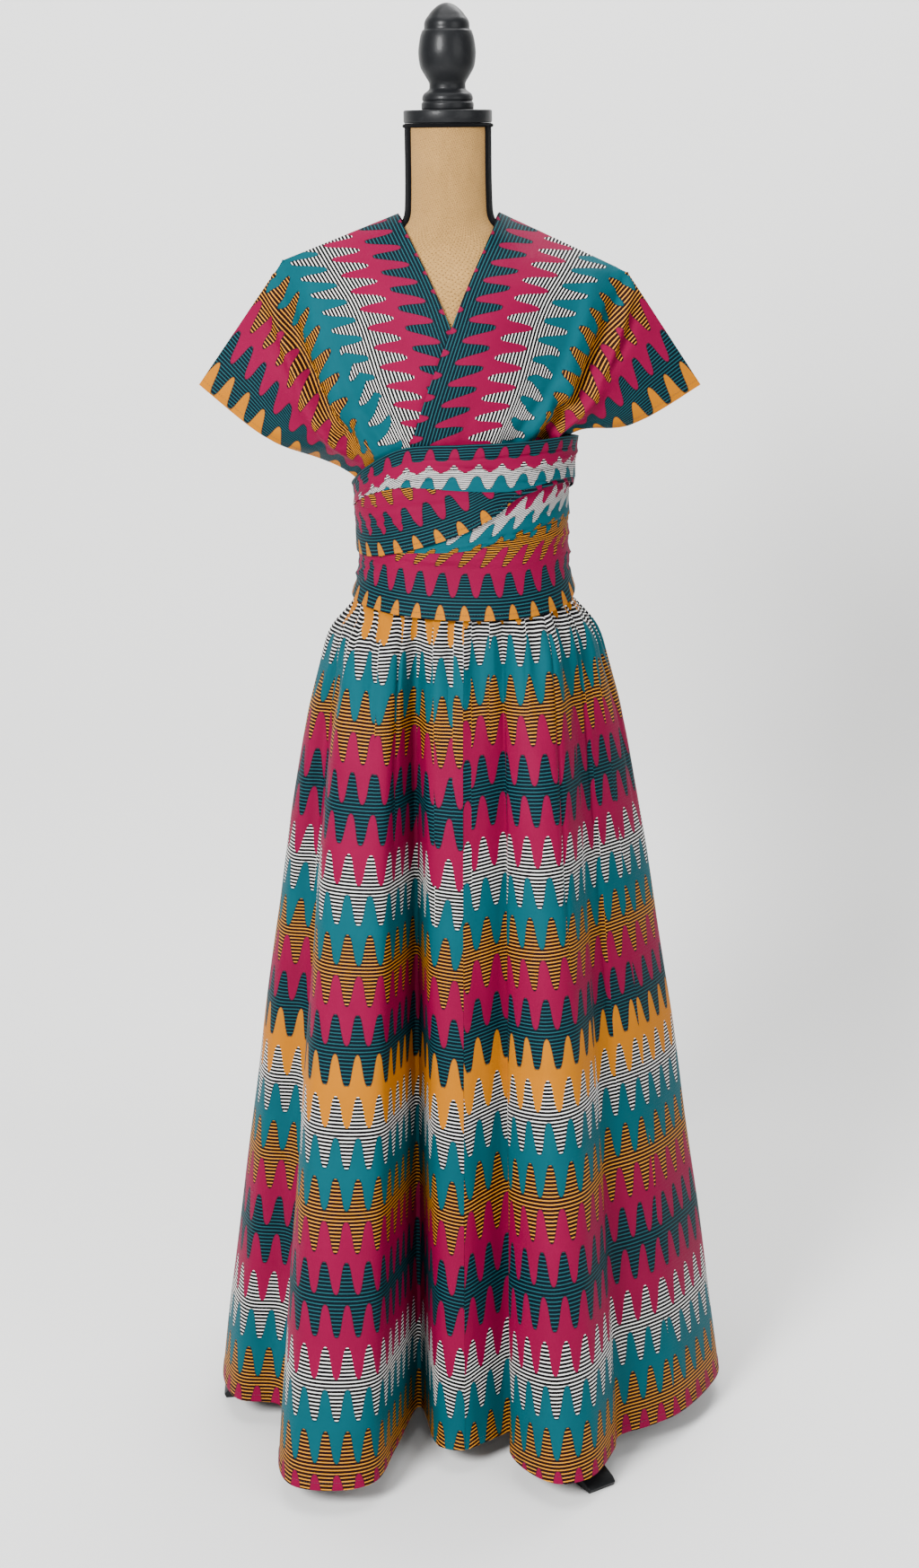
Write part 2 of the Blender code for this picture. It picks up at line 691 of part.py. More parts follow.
def leg_outline():
    """A leg seen from its side: (reach from the axis, height), round its outline."""
    heel = HUB_RADIUS + SEAM_GAP
    upper = [(heel, 0.165), (0.105, 0.152), (0.180, 0.092), (0.228, 0.032), (0.278, 0.015)]
    lower = [(0.250, 0.000), (0.210, 0.022), (0.162, 0.074), (0.099, 0.126), (heel, 0.135)]
    top = [spline_point([Vector(p) for p in upper], step / 8) for step in range(9)]
    under = [spline_point([Vector(p) for p in lower], step / 8) for step in range(9)]
    toe = [
        Vector((LEG_REACH - 0.005, 0.010)),
        Vector((LEG_REACH, 0.005)),
        Vector((LEG_REACH - 0.002, 0.000)),
    ]
    return top + toe + under


def make_leg(name, azimuth, material):
    """A curved plank that stands on its flat foot."""
    outline = leg_outline()
    out = Vector((math.cos(azimuth), math.sin(azimuth), 0))
    beside = Vector((-out.y, out.x, 0))
    centre = Vector((FORM_X, 0, 0))
    count = len(outline)
    points = []
    for half in (-LEG_WIDTH / 2, LEG_WIDTH / 2):
        points += [centre + out * reach + beside * half + Vector((0, 0, z)) for reach, z in outline]
    faces = [(i, (i + 1) % count, count + (i + 1) % count, count + i) for i in range(count)]
    faces.append(tuple(reversed(range(count))))
    faces.append(tuple(range(count, 2 * count)))
    add_object(name, points, faces, material)


def make_stand(material):
    """The pole under the form, the hub at its foot and three legs."""
    pole = [(HUB_TOP_Z + SEAM_GAP, POLE_RADIUS), (FORM_SECTIONS[0].z - SEAM_GAP, POLE_RADIUS)]
    turned("stand_pole", pole, FORM_X, material, steps=20)
    hub = [
        (HUB_BOTTOM_Z, HUB_RADIUS - 0.003),
        (HUB_BOTTOM_Z + 0.003, HUB_RADIUS),
        (HUB_TOP_Z - 0.003, HUB_RADIUS),
        (HUB_TOP_Z, HUB_RADIUS - 0.003),
    ]
    turned("stand_hub", hub, FORM_X, material)
    for number, azimuth in enumerate(LEG_AZIMUTHS, start=1):
        make_leg(f"stand_leg_{number}", math.radians(azimuth), material)


def main():
    clear_scene()
    make_skirt(finish("printed_cotton_skirt", (0.10, 0.25, 0.27), 0.72))
    make_waistband(finish("plain_band", (0.02, 0.02, 0.02), 0.80))
    make_strap("left", 1, LAYER, finish("printed_cotton_left_strap", (0.10, 0.25, 0.27), 0.72))
    make_strap("right", -1, 0.0, finish("printed_cotton_right_strap", (0.10, 0.25, 0.27), 0.72))
    make_wraps(finish("printed_cotton_wraps", (0.55, 0.03, 0.12), 0.72))
    make_torso(finish("linen", (0.52, 0.35, 0.19), 0.90))
    make_neck_cap(finish("black_painted_wood", (0.012, 0.012, 0.013), 0.35))
    make_stand(finish("black_painted_stand", (0.012, 0.012, 0.013), 0.45))


main()
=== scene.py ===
"""A wrap dress of banded wax-print cotton, shown on a linen dress form with a stand.

Metres, +Z up, the front towards -Y, as in the CAD frame. Left and right are the
wearer's, so left is +X. Every sheet of cloth is a thin shell on the form of its CAD
solid, and its UV map is its place in the flat, printed cloth, in metres.
"""

import logging
import math
from collections.abc import Callable, Sequence
from dataclasses import dataclass, field
from enum import Enum
from typing import NamedTuple

import bmesh
import bpy
import numpy as np
from mathutils import Matrix, Vector


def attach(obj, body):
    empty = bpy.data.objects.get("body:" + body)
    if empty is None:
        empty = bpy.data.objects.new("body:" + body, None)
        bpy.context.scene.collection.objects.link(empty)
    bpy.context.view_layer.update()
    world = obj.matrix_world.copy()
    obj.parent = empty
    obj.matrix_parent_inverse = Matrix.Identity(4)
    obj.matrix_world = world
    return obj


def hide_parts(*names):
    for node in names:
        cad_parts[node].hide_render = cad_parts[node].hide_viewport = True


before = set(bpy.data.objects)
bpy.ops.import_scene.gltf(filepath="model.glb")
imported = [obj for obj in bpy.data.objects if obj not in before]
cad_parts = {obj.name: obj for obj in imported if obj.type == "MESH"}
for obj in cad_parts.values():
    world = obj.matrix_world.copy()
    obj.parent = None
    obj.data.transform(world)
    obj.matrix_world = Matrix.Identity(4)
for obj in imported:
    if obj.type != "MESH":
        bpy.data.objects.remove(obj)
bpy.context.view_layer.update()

log = logging.getLogger("dress")

BODY = "root"
SEAM_GAP = 0.0003
SHELL = 0.0009
FLAT_MAP = "Cloth"

STRAP_WIDTH = 0.345
CREASE_REACH = 3
CREASE_ENDS = 0.7

Colour = tuple[float, float, float]
Place = tuple[float, float]


class Side(Enum):
    """The wearer's side that a piece belongs to."""

    LEFT = 1
    RIGHT = -1

    @property
    def word(self) -> str:
        """The side's name in lower case, as nodes use it."""
        return self.name.lower()


class Facing(Enum):
    """Which half of the dress form a point lies on."""

    FRONT = "front"
    BACK = "back"


class Slot(Enum):
    """The record's material slots."""

    PRINT = "printed_cotton"
    PLAIN = "plain_cotton"
    LINEN = "linen_cover"
    WOOD = "black_wood"


class Held(Enum):
    """How a sheet of cloth is held up."""

    GATHERED = "gathered"
    DRAPED = "draped"


def hermite(start, end, start_slope, end_slope, share: float):
    """A smooth curve between two values or vectors.

    Args:
        start: The value at share 0.
        end: The value at share 1.
        start_slope: The slope at the start.
        end_slope: The slope at the end.
        share: How far along, from 0 to 1.

    Returns:
        The value there, of the same kind as the start.
    """
    square = share * share
    cube = square * share
    return (
        start * (2 * cube - 3 * square + 1)
        + start_slope * (cube - 2 * square + share)
        + end * (3 * square - 2 * cube)
        + end_slope * (cube - square)
    )


def rows_of(kind: type, *rows: tuple) -> tuple:
    """Rows of one kind from plain tuples, as a table that is read by hand."""
    return tuple(kind(*row) for row in rows)


def smooth_step(low: float, high: float, at: float) -> float:
    """A smooth climb from 0 at low to 1 at high."""
    share = min(max((at - low) / (high - low), 0.0), 1.0)
    return share * share * (3 - 2 * share)


class Table:
    """A short table of rows, read at any place by a smooth curve through them."""

    def __init__(self, rows: Sequence[NamedTuple], key: str, turn: float = 0.0) -> None:
        """Sorts the rows by their key.

        Args:
            rows: Rows of one kind.
            key: The field that orders them.
            turn: The length of a full turn where the table closes into a ring, or 0.
        """
        ordered = sorted(rows, key=lambda row: getattr(row, key))
        if turn:
            ordered = [
                *(row._replace(**{key: getattr(row, key) - turn}) for row in ordered[-2:]),
                *ordered,
                *(row._replace(**{key: getattr(row, key) + turn}) for row in ordered[:2]),
            ]
        self.turn = turn
        self.first = getattr(ordered[2], key) if turn else 0.0
        self.keys = [getattr(row, key) for row in ordered]
        self.columns = dict(zip(ordered[0]._fields, zip(*ordered)))

    def at(self, place: float, column: str) -> float:
        """One column's value at a place.

        Args:
            place: The key's value that is asked for.
            column: The column to read.

        Returns:
            The value on a smooth curve through the rows.
        """
        if self.turn:
            place = (place - self.first) % self.turn + self.first
        keys, values = self.keys, self.columns[column]
        place = min(max(place, keys[0]), keys[-1])
        index = 0
        while index < len(keys) - 2 and keys[index + 1] <= place:
            index += 1
        span = keys[index + 1] - keys[index]
        slopes = [self.slope(index + step, values) * span for step in (0, 1)]
        share = (place - keys[index]) / span
        return hermite(values[index], values[index + 1], slopes[0], slopes[1], share)

    def slope(self, index: int, values: Sequence[float]) -> float:
        """The curve's slope at a row of a column: that of the chord between its neighbours."""
        before, after = max(index - 1, 0), min(index + 1, len(values) - 1)
        return (values[after] - values[before]) / (self.keys[after] - self.keys[before])


def spline_point(points: Sequence[Vector], share: float) -> Vector:
    """A point of the smooth curve through a list of vectors.

    Args:
        points: The vectors that the curve passes through.
        share: How far along, from 0 to 1, with equal shares between the points.

    Returns:
        The point there.
    """
    last = len(points) - 1
    index = min(int(share * last), last - 1)
    start, end = points[index], points[index + 1]
    start_slope = (end - points[index - 1]) / 2 if index else end - start
    end_slope = (points[index + 2] - start) / 2 if index + 2 <= last else end - start
    return hermite(start, end, start_slope, end_slope, share * last - index)


@dataclass(frozen=True)
class Crease:
    """A soft ridge or trough in cloth, as long and deep as it was placed."""

    start: Place
    end: Place
    height: float
    width: float
    lean: float = 0.0

    def at(self, place: Place) -> float:
        """How far the crease lifts the cloth at a place.

        Args:
            place: The place, in the same two measures as the crease's ends.

        Returns:
            The lift in metres, below zero in a trough.
        """
        along_x, along_y = self.end[0] - self.start[0], self.end[1] - self.start[1]
        square = along_x * along_x + along_y * along_y
        dx, dy = place[0] - self.start[0], place[1] - self.start[1]
        share = (dx * along_x + dy * along_y) / square
        if not 0.0 < share < 1.0:
            return 0.0
        aside = (dx * along_y - dy * along_x) / math.sqrt(square)
        width = self.width * (1.0 - self.lean if aside > 0 else 1.0 + self.lean)
        if abs(aside) > CREASE_REACH * width:
            return 0.0
        ends = math.sin(math.pi * share) ** CREASE_ENDS
        return self.height * math.exp(-((aside / width) ** 2)) * ends


@dataclass(frozen=True)
class Signal:
    """A value in a node tree, which plain arithmetic adds nodes to."""

    sketch: "Sketch"
    socket: bpy.types.NodeSocket

    def __add__(self, other) -> "Signal":
        """The sum."""
        return self.sketch.math("ADD", self, other)

    def __sub__(self, other) -> "Signal":
        """The difference."""
        return self.sketch.math("SUBTRACT", self, other)

    def __rsub__(self, number: float) -> "Signal":
        """What is left of a number."""
        return self.sketch.math("SUBTRACT", number, self)

    def __mul__(self, other) -> "Signal":
        """The product."""
        return self.sketch.math("MULTIPLY", self, other)

    def __truediv__(self, other) -> "Signal":
        """The quotient."""
        return self.sketch.math("DIVIDE", self, other)

    def __rtruediv__(self, number: float) -> "Signal":
        """A number divided by this."""
        return self.sketch.math("DIVIDE", number, self)

    def __mod__(self, number: float) -> "Signal":
        """What is left after whole multiples, never below zero."""
        return self.sketch.math("FLOORED_MODULO", self, number)

    def __lt__(self, other) -> "Signal":
        """1 where this is the lesser, and 0 elsewhere."""
        return self.sketch.math("LESS_THAN", self, other)

    def __gt__(self, other) -> "Signal":
        """1 where this is the greater, and 0 elsewhere."""
        return self.sketch.math("GREATER_THAN", self, other)

    def __abs__(self) -> "Signal":
        """The size without the sign."""
        return self.sketch.math("ABSOLUTE", self)


@dataclass(frozen=True)
class Sketch:
    """Adds nodes to one tree in plain calls."""

    tree: bpy.types.NodeTree

    def feed(self, socket: bpy.types.NodeSocket, value) -> None:
        """Links or sets one input.

        Args:
            socket: The input.
            value: A signal to link, or a plain value to set.
        """
        if isinstance(value, Signal):
            self.tree.links.new(value.socket, socket)
        elif socket.type == "RGBA":
            socket.default_value = (*value, 1.0)
        else:
            socket.default_value = value

    def set(self, made: bpy.types.Node, **inputs) -> None:
        """Feeds a node's inputs by name, with spaces as underscores."""
        for name, value in inputs.items():
            self.feed(made.inputs[name.replace("_", " ")], value)

    def node(self, kind: str, settings: dict | None = None, **inputs) -> bpy.types.Node:
        """Adds a node.

        Args:
            kind: The node's type.
            settings: Properties of the node.
            **inputs: Values or signals, by input name with spaces as underscores.

        Returns:
            The new node.
        """
        made = self.tree.nodes.new(kind)
        for name, value in (settings or {}).items():
            setattr(made, name, value)
        self.set(made, **inputs)
        return made

    def take(self, kind: str, settings: dict | None = None, **inputs) -> Signal:
        """Adds a node, as node does, and gives its first output."""
        return Signal(self, self.node(kind, settings, **inputs).outputs[0])

    def outputs(self, made: bpy.types.Node) -> dict[str, Signal]:
        """A node's outputs by name."""
        return {socket.name: Signal(self, socket) for socket in made.outputs}

    def split(self, vector: Signal) -> dict[str, Signal]:
        """The X, Y and Z of a vector."""
        return self.outputs(self.node("ShaderNodeSeparateXYZ", Vector=vector))

    def effect(self, group: bpy.types.NodeTree, **inputs) -> dict[str, Signal]:
        """Places a shared effect and gives its outputs by name."""
        return self.outputs(self.node("ShaderNodeGroup", {"node_tree": group}, **inputs))

    def math(self, operation: str, *values) -> Signal:
        """Adds a Math node.

        Args:
            operation: Blender's name of the operation.
            *values: Numbers or signals.

        Returns:
            The node's value.
        """
        made = self.node("ShaderNodeMath", {"operation": operation})
        for socket, value in zip(made.inputs, values):
            self.feed(socket, value)
        return Signal(self, made.outputs[0])

    def mix(self, share, first, second) -> Signal:
        """Adds a colour Mix node.

        Args:
            share: How much of the second colour.
            first: The first colour.
            second: The second colour.

        Returns:
            The mixed colour.
        """
        made = self.node("ShaderNodeMix", {"data_type": "RGBA"})
        values = {"Factor_Float": share, "A_Color": first, "B_Color": second}
        for socket in made.inputs:
            if socket.identifier in values:
                self.feed(socket, values[socket.identifier])
        return Signal(self, next(s for s in made.outputs if s.identifier == "Result_Color"))

    def range(self, value: Signal, low: float, high: float, to_low: float, to_high: float) -> Signal:
        """Maps a value that runs from low to high to one from to_low to to_high."""
        ends = {"From_Min": low, "From_Max": high, "To_Min": to_low, "To_Max": to_high}
        return self.take("ShaderNodeMapRange", Value=value, **ends)

    def tint(self, tone: Signal, colour) -> Signal:
        """A colour made lighter or darker by a tone near 1."""
        return self.take("ShaderNodeHueSaturation", Value=tone, Color=colour)

    def bump(self, height: Signal, strength: float, distance: float) -> Signal:
        """The normal of a surface that a height raises by a distance in metres."""
        return self.take("ShaderNodeBump", Height=height, Strength=strength, Distance=distance)

    def steps(self, place: Signal, colours: Sequence[Colour]) -> Signal:
        """Adds a ramp of flat, equally wide colours.

        Args:
            place: A value that runs from 0 to 1.
            colours: The colours in order.

        Returns:
            The colour at the place.
        """
        ramp = self.node("ShaderNodeValToRGB", Fac=place)
        ramp.color_ramp.interpolation = "CONSTANT"
        stops = ramp.color_ramp.elements
        stops[0].color = (*colours[0], 1.0)
        stops.remove(stops[1])
        for index, colour in enumerate(colours[1:], start=1):
            stops.new(index / len(colours)).color = (*colour, 1.0)
        return Signal(self, ramp.outputs["Color"])


NUMBER, VECTOR, COLOUR = "NodeSocketFloat", "NodeSocketVector", "NodeSocketColor"


def new_group(
    name: str, inputs: dict[str, float | None], outputs: dict[str, str]
) -> tuple[bpy.types.NodeTree, Sketch, dict[str, Signal], bpy.types.Node]:
    """Makes an empty shader node group.

    Args:
        name: The group's name.
        inputs: The default of each named number, or None for a vector.
        outputs: The kind of each named output.

    Returns:
        The group, a sketch of it, its inputs by name and its output node.
    """
    group = bpy.data.node_groups.new(name, "ShaderNodeTree")
    for label, default in inputs.items():
        kind = VECTOR if default is None else NUMBER
        socket = group.interface.new_socket(label, in_out="INPUT", socket_type=kind)
        if default is not None:
            socket.default_value = default
    for label, kind in outputs.items():
        group.interface.new_socket(label, in_out="OUTPUT", socket_type=kind)
    sketch = Sketch(group)
    given = sketch.outputs(sketch.node("NodeGroupInput"))
    return group, sketch, given, sketch.node("NodeGroupOutput")


class Ink(NamedTuple):
    """A band of the print: the cloth's colour, and that of the lines drawn over it."""

    ground: Colour
    line: Colour


ORANGE = (0.37, 0.122, 0.0)
CRIMSON = (0.162, 0.0, 0.029)
TEAL = (0.0, 0.062, 0.080)
BLACK = (0.003, 0.0025, 0.003)
WHITE = (0.84, 0.83, 0.81)
PALE_ORANGE = (0.52, 0.205, 0.008)
DARK_RED = (0.010, 0.0015, 0.002)
DEEP_TEAL = (0.008, 0.062, 0.074)
NIGHT = (0.0005, 0.005, 0.009)

COMMON_BANDS = (
    Ink(WHITE, BLACK),
    Ink(TEAL, TEAL),
    Ink(PALE_ORANGE, DARK_RED),
    Ink(CRIMSON, CRIMSON),
    Ink(DEEP_TEAL, NIGHT),
)
PRINT_BANDS = (Ink(ORANGE, ORANGE), *COMMON_BANDS, Ink(CRIMSON, CRIMSON), *COMMON_BANDS)
FLIPPED_FROM, FLIPPED_TO = 4, 9
UNDRAWN_EDGES = (1, 7)
BAND_PITCH = 0.0480
STRIPES_IN_A_BAND = 11
BLUNTNESS = 0.075
NARROWING = 0.06
OUTLINE_STRENGTH = 0.55


def banded_print_group() -> bpy.types.NodeTree:
    """Builds the print: striped and plain bands whose edges are rows of round teeth.

    Returns:
        The node group, which takes the place in the flat cloth in metres.
    """
    group, sketch, given, gives = new_group(
        "Banded Tooth Print",
        {
            "Cloth Place": None,
            "Band Pitch": BAND_PITCH,
            "Tooth Period": 0.0256,
            "Tooth Height": 0.415,
            "Stripe Period": BAND_PITCH / STRIPES_IN_A_BAND,
            "Stripe Share": 0.69,
            "Outline": 0.0006,
            "Hand Drift": 0.0030,
        },
        {"Color": COLOUR, "Ink": NUMBER},
    )
    cloth, pitch = given["Cloth Place"], given["Band Pitch"]
    tooth, tall = given["Tooth Period"], given["Tooth Height"]
    noise = sketch.node("ShaderNodeTexNoise", Vector=cloth, Scale=17.0, Detail=1.0, Roughness=0.4)
    cloud = sketch.outputs(noise)["Color"]
    drift = sketch.outputs(sketch.node("ShaderNodeSeparateColor", Color=cloud))
    place = sketch.split(cloth)
    across = place["X"] + (drift["Red"] - 0.5) * given["Hand Drift"]
    down = place["Y"] + (drift["Green"] - 0.5) * given["Hand Drift"] * 0.5

    kinds = float(len(PRINT_BANDS))
    bands_down = down / pitch
    edge = sketch.math("ROUND", bands_down)
    edge_kind = edge % kinds
    flipped = (edge_kind > FLIPPED_FROM - 0.5) * (edge_kind < FLIPPED_TO + 0.5)
    turn = (across / tooth + flipped * 0.5) * math.tau
    narrow_up = edge_kind < 0.5
    narrow_down = sketch.math("COMPARE", edge_kind % 6.0, 4.0, 0.5)
    blunt = sketch.math("COSINE", turn * 3.0) * BLUNTNESS
    narrow = sketch.math("COSINE", turn * 2.0) * ((narrow_up - narrow_down) * NARROWING)
    wave = sketch.math("COSINE", turn) - blunt + narrow
    past = bands_down - edge + tall * wave
    band_kind = (edge - 1.0 + (past > 0.0)) % kinds
    ramp_place = (band_kind + 0.5) / kinds
    ground = sketch.steps(ramp_place, [ink.ground for ink in PRINT_BANDS])
    line = sketch.steps(ramp_place, [ink.line for ink in PRINT_BANDS])
    stripe = sketch.math("FRACT", down / given["Stripe Period"]) < given["Stripe Share"]
    inked = sketch.mix(stripe, ground, line)

    steep = sketch.math("SINE", turn) * (tall * pitch * math.tau / tooth)
    stretch = sketch.math("SQRT", steep * steep + 1.0)
    near_edge = abs(past) * pitch / stretch < given["Outline"]
    first_drawn, last_drawn = (abs(edge_kind - kind) > 0.5 for kind in UNDRAWN_EDGES)
    outline = near_edge * first_drawn * last_drawn
    colour = sketch.mix(outline * OUTLINE_STRENGTH, inked, NIGHT)
    sketch.set(gives, Color=colour, Ink=sketch.math("MAXIMUM", outline, stripe))
    return group


def plain_weave_group() -> bpy.types.NodeTree:
    """Builds a plain weave: threads that go over and under each other.

    Returns:
        The node group, which puts out the threads' height and the gaps between them.
    """
    group, sketch, given, gives = new_group(
        "Plain Weave",
        {"Cloth Place": None, "Thread Pitch": 0.0005, "Slub": 0.2},
        {"Height": NUMBER, "Gap": NUMBER, "Tone": NUMBER},
    )
    cloth = given["Cloth Place"]
    slub = sketch.take("ShaderNodeTexNoise", Vector=cloth, Scale=420.0, Detail=2.0, Roughness=0.6)
    uneven = (slub - 0.5) * given["Slub"]
    place = sketch.split(cloth)
    over = []
    for way in ("X", "Y"):
        threads = place[way] / given["Thread Pitch"] + uneven
        over.append(sketch.math("SINE", threads * math.pi))
    warp, weft = (abs(wave) for wave in over)
    height = sketch.math("MINIMUM", warp, weft) * 0.7 + abs(over[0] * over[1]) * 0.3
    gap = sketch.range(sketch.math("MAXIMUM", warp, weft), 0.15, 0.55, 1.0, 0.0)
    sketch.set(gives, Height=height, Gap=gap, Tone=slub)
    return group


def handling_group() -> bpy.types.NodeTree:
    """Builds slow, uneven tone and fine wear, for every finish.

    Returns:
        The node group, which puts out a tone near 1 and a mask of rubbed spots.
    """
    group, sketch, given, gives = new_group(
        "Handling",
        {"Place": None, "Size": 0.08, "Depth": 0.1},
        {"Tone": NUMBER, "Rubbed": NUMBER},
    )
    place = given["Place"]
    scale = 1.0 / given["Size"]
    slow = sketch.take("ShaderNodeTexNoise", Vector=place, Scale=scale, Detail=4.0)
    fine = sketch.take("ShaderNodeTexNoise", Vector=place, Scale=scale * 9.0, Detail=6.0)
    tone = (slow - 0.5) * given["Depth"] + 1.0
    sketch.set(gives, Tone=tone, Rubbed=sketch.range(fine, 0.58, 0.72, 0.0, 1.0))
    return group


@dataclass
class SharedEffects:
    """The node groups that more than one finish uses, each built once."""

    print_bands: bpy.types.NodeTree = field(default_factory=banded_print_group)
    weave: bpy.types.NodeTree = field(default_factory=plain_weave_group)
    handling: bpy.types.NodeTree = field(default_factory=handling_group)


def start_material(name: str) -> tuple[bpy.types.Material, Sketch, bpy.types.Node]:
    """Makes a material with nothing but its Principled shader.

    Args:
        name: The material's name.

    Returns:
        The material, a sketch of its tree and its shader.
    """
    material = bpy.data.materials.new(name)
    material.use_nodes = True
    tree = material.node_tree
    return material, Sketch(tree), tree.nodes["Principled BSDF"]


@dataclass(frozen=True)
class PrintedCotton:
    """Smooth waxed cotton with the banded print."""

    name: str = "Banded wax print"
    thread: float = 0.00045
    roughness: float = 0.62

    def make(self, effects: SharedEffects) -> bpy.types.Material:
        """Builds the material.

        Args:
            effects: The shared node groups.

        Returns:
            The material, which reads the cloth's own flat map.
        """
        material, sketch, shader = start_material(self.name)
        place = sketch.take("ShaderNodeUVMap", {"uv_map": FLAT_MAP})
        printed = sketch.effect(effects.print_bands, Cloth_Place=place)
        weave = sketch.effect(effects.weave, Cloth_Place=place, Thread_Pitch=self.thread, Slub=0.25)
        handled = sketch.effect(effects.handling, Place=place, Size=0.06, Depth=0.30)
        sketch.set(
            shader,
            Base_Color=sketch.tint(handled["Tone"], printed["Color"]),
            Roughness=self.roughness - printed["Ink"] * 0.05,
            Normal=sketch.bump(weave["Height"], 0.35, 0.0002),
            Specular_IOR_Level=0.06,
        )
        return material


@dataclass(frozen=True)
class WovenCloth:
    """A plain woven or knitted cloth of one dyed or natural colour."""

    name: str
    thread_colour: Colour
    gap_colour: Colour
    thread: float
    slub: float = 0.5
    turned: float = 0.0
    relief: float = 0.0006
    roughness: float = 0.92
    sheen: float = 0.0

    def make(self, effects: SharedEffects) -> bpy.types.Material:
        """Builds the material.

        Args:
            effects: The shared node groups.

        Returns:
            The material, which reads the piece's flat map.
        """
        material, sketch, shader = start_material(self.name)
        flat = sketch.take("ShaderNodeUVMap", {"uv_map": FLAT_MAP})
        turn = (0.0, 0.0, math.radians(self.turned))
        place = sketch.take("ShaderNodeMapping", Vector=flat, Rotation=turn)
        weave = sketch.effect(
            effects.weave, Cloth_Place=place, Thread_Pitch=self.thread, Slub=self.slub
        )
        handled = sketch.effect(effects.handling, Place=flat, Size=0.03, Depth=0.35)
        tone = sketch.range(weave["Tone"], 0.3, 0.7, 0.82, 1.18) * handled["Tone"]
        threads = sketch.tint(tone, self.thread_colour)
        dull = min(self.roughness + 0.06, 1.0)
        sketch.set(
            shader,
            Base_Color=sketch.mix(weave["Gap"], threads, self.gap_colour),
            Roughness=sketch.range(weave["Height"], 0.0, 1.0, dull, self.roughness),
            Normal=sketch.bump(weave["Height"], 0.9, self.relief),
            Sheen_Weight=self.sheen,
            Specular_IOR_Level=0.10,
        )
        return material


@dataclass(frozen=True)
class BlackPaint:
    """Satin black paint over wood or metal, a little rubbed where it is handled."""

    name: str
    roughness: float = 0.34
    grain: float = 0.0
    paint: Colour = (0.006, 0.0065, 0.0075)
    rubbed: Colour = (0.022, 0.022, 0.025)

    def make(self, effects: SharedEffects) -> bpy.types.Material:
        """Builds the material.

        Args:
            effects: The shared node groups.

        Returns:
            The material, which reads Object coordinates.
        """
        material, sketch, shader = start_material(self.name)
        place = sketch.outputs(sketch.node("ShaderNodeTexCoord"))["Object"]
        handled = sketch.effect(effects.handling, Place=place, Size=0.05, Depth=0.5)
        grain = sketch.take("ShaderNodeTexNoise", Vector=place, Scale=260.0, Detail=5.0)
        sketch.set(
            shader,
            Base_Color=sketch.mix(handled["Rubbed"] * 0.22, self.paint, self.rubbed),
            Roughness=handled["Tone"] * self.roughness,
            Normal=sketch.bump(grain, 0.25 + self.grain, 0.0004),
            Coat_Weight=0.03,
            Specular_IOR_Level=0.16,
        )
        return material


@dataclass(frozen=True)
class Thread:
    """Sewing thread."""

    name: str
    colour: Colour

    def make(self, effects: SharedEffects) -> bpy.types.Material:
        """Builds the material.

        Args:
            effects: The shared node groups.

        Returns:
            The material, which reads Object coordinates.
        """
        material, sketch, shader = start_material(self.name)
        place = sketch.outputs(sketch.node("ShaderNodeTexCoord"))["Object"]
        handled = sketch.effect(effects.handling, Place=place, Size=0.01, Depth=0.6)
        sketch.set(shader, Base_Color=sketch.tint(handled["Tone"], self.colour), Roughness=0.6)
        return material


@dataclass
class Wardrobe:
    """Every finish of the dress, its form and its stand."""

    effects: SharedEffects = field(default_factory=SharedEffects)
    made: dict[str, bpy.types.Material] = field(default_factory=dict)

    def get(self, finish) -> bpy.types.Material:
        """A finish's material, built the first time.

        Args:
            finish: The finish.

        Returns:
            Its material.
        """
        if finish.name not in self.made:
            self.made[finish.name] = finish.make(self.effects)
        return self.made[finish.name]


PRINT = PrintedCotton()
BAND_COTTON = WovenCloth("Black band cotton", (0.009, 0.009, 0.010), (0.002, 0.002, 0.002), 0.0005)
LINEN = WovenCloth(
    "Open linen",
    (0.36, 0.2, 0.062),
    (0.06, 0.026, 0.006),
    0.00340,
    slub=0.7,
    turned=38.0,
    sheen=0.06,
)
JERSEY = WovenCloth(
    "Black jersey", (0.006, 0.006, 0.007), (0.002, 0.002, 0.002), 0.0007, relief=0.0002
)
CORDING = WovenCloth("Black piping", (0.004, 0.004, 0.005), (0.0015, 0.0015, 0.0015), 0.0006)
TURNED_WOOD = BlackPaint("Black turned wood", 0.42)
SAWN_WOOD = BlackPaint("Black sawn wood", 0.38, grain=0.2)
POLE_PAINT = BlackPaint("Black pole paint", 0.42)
DARK_THREAD = Thread("Dark thread", (0.02, 0.025, 0.03))


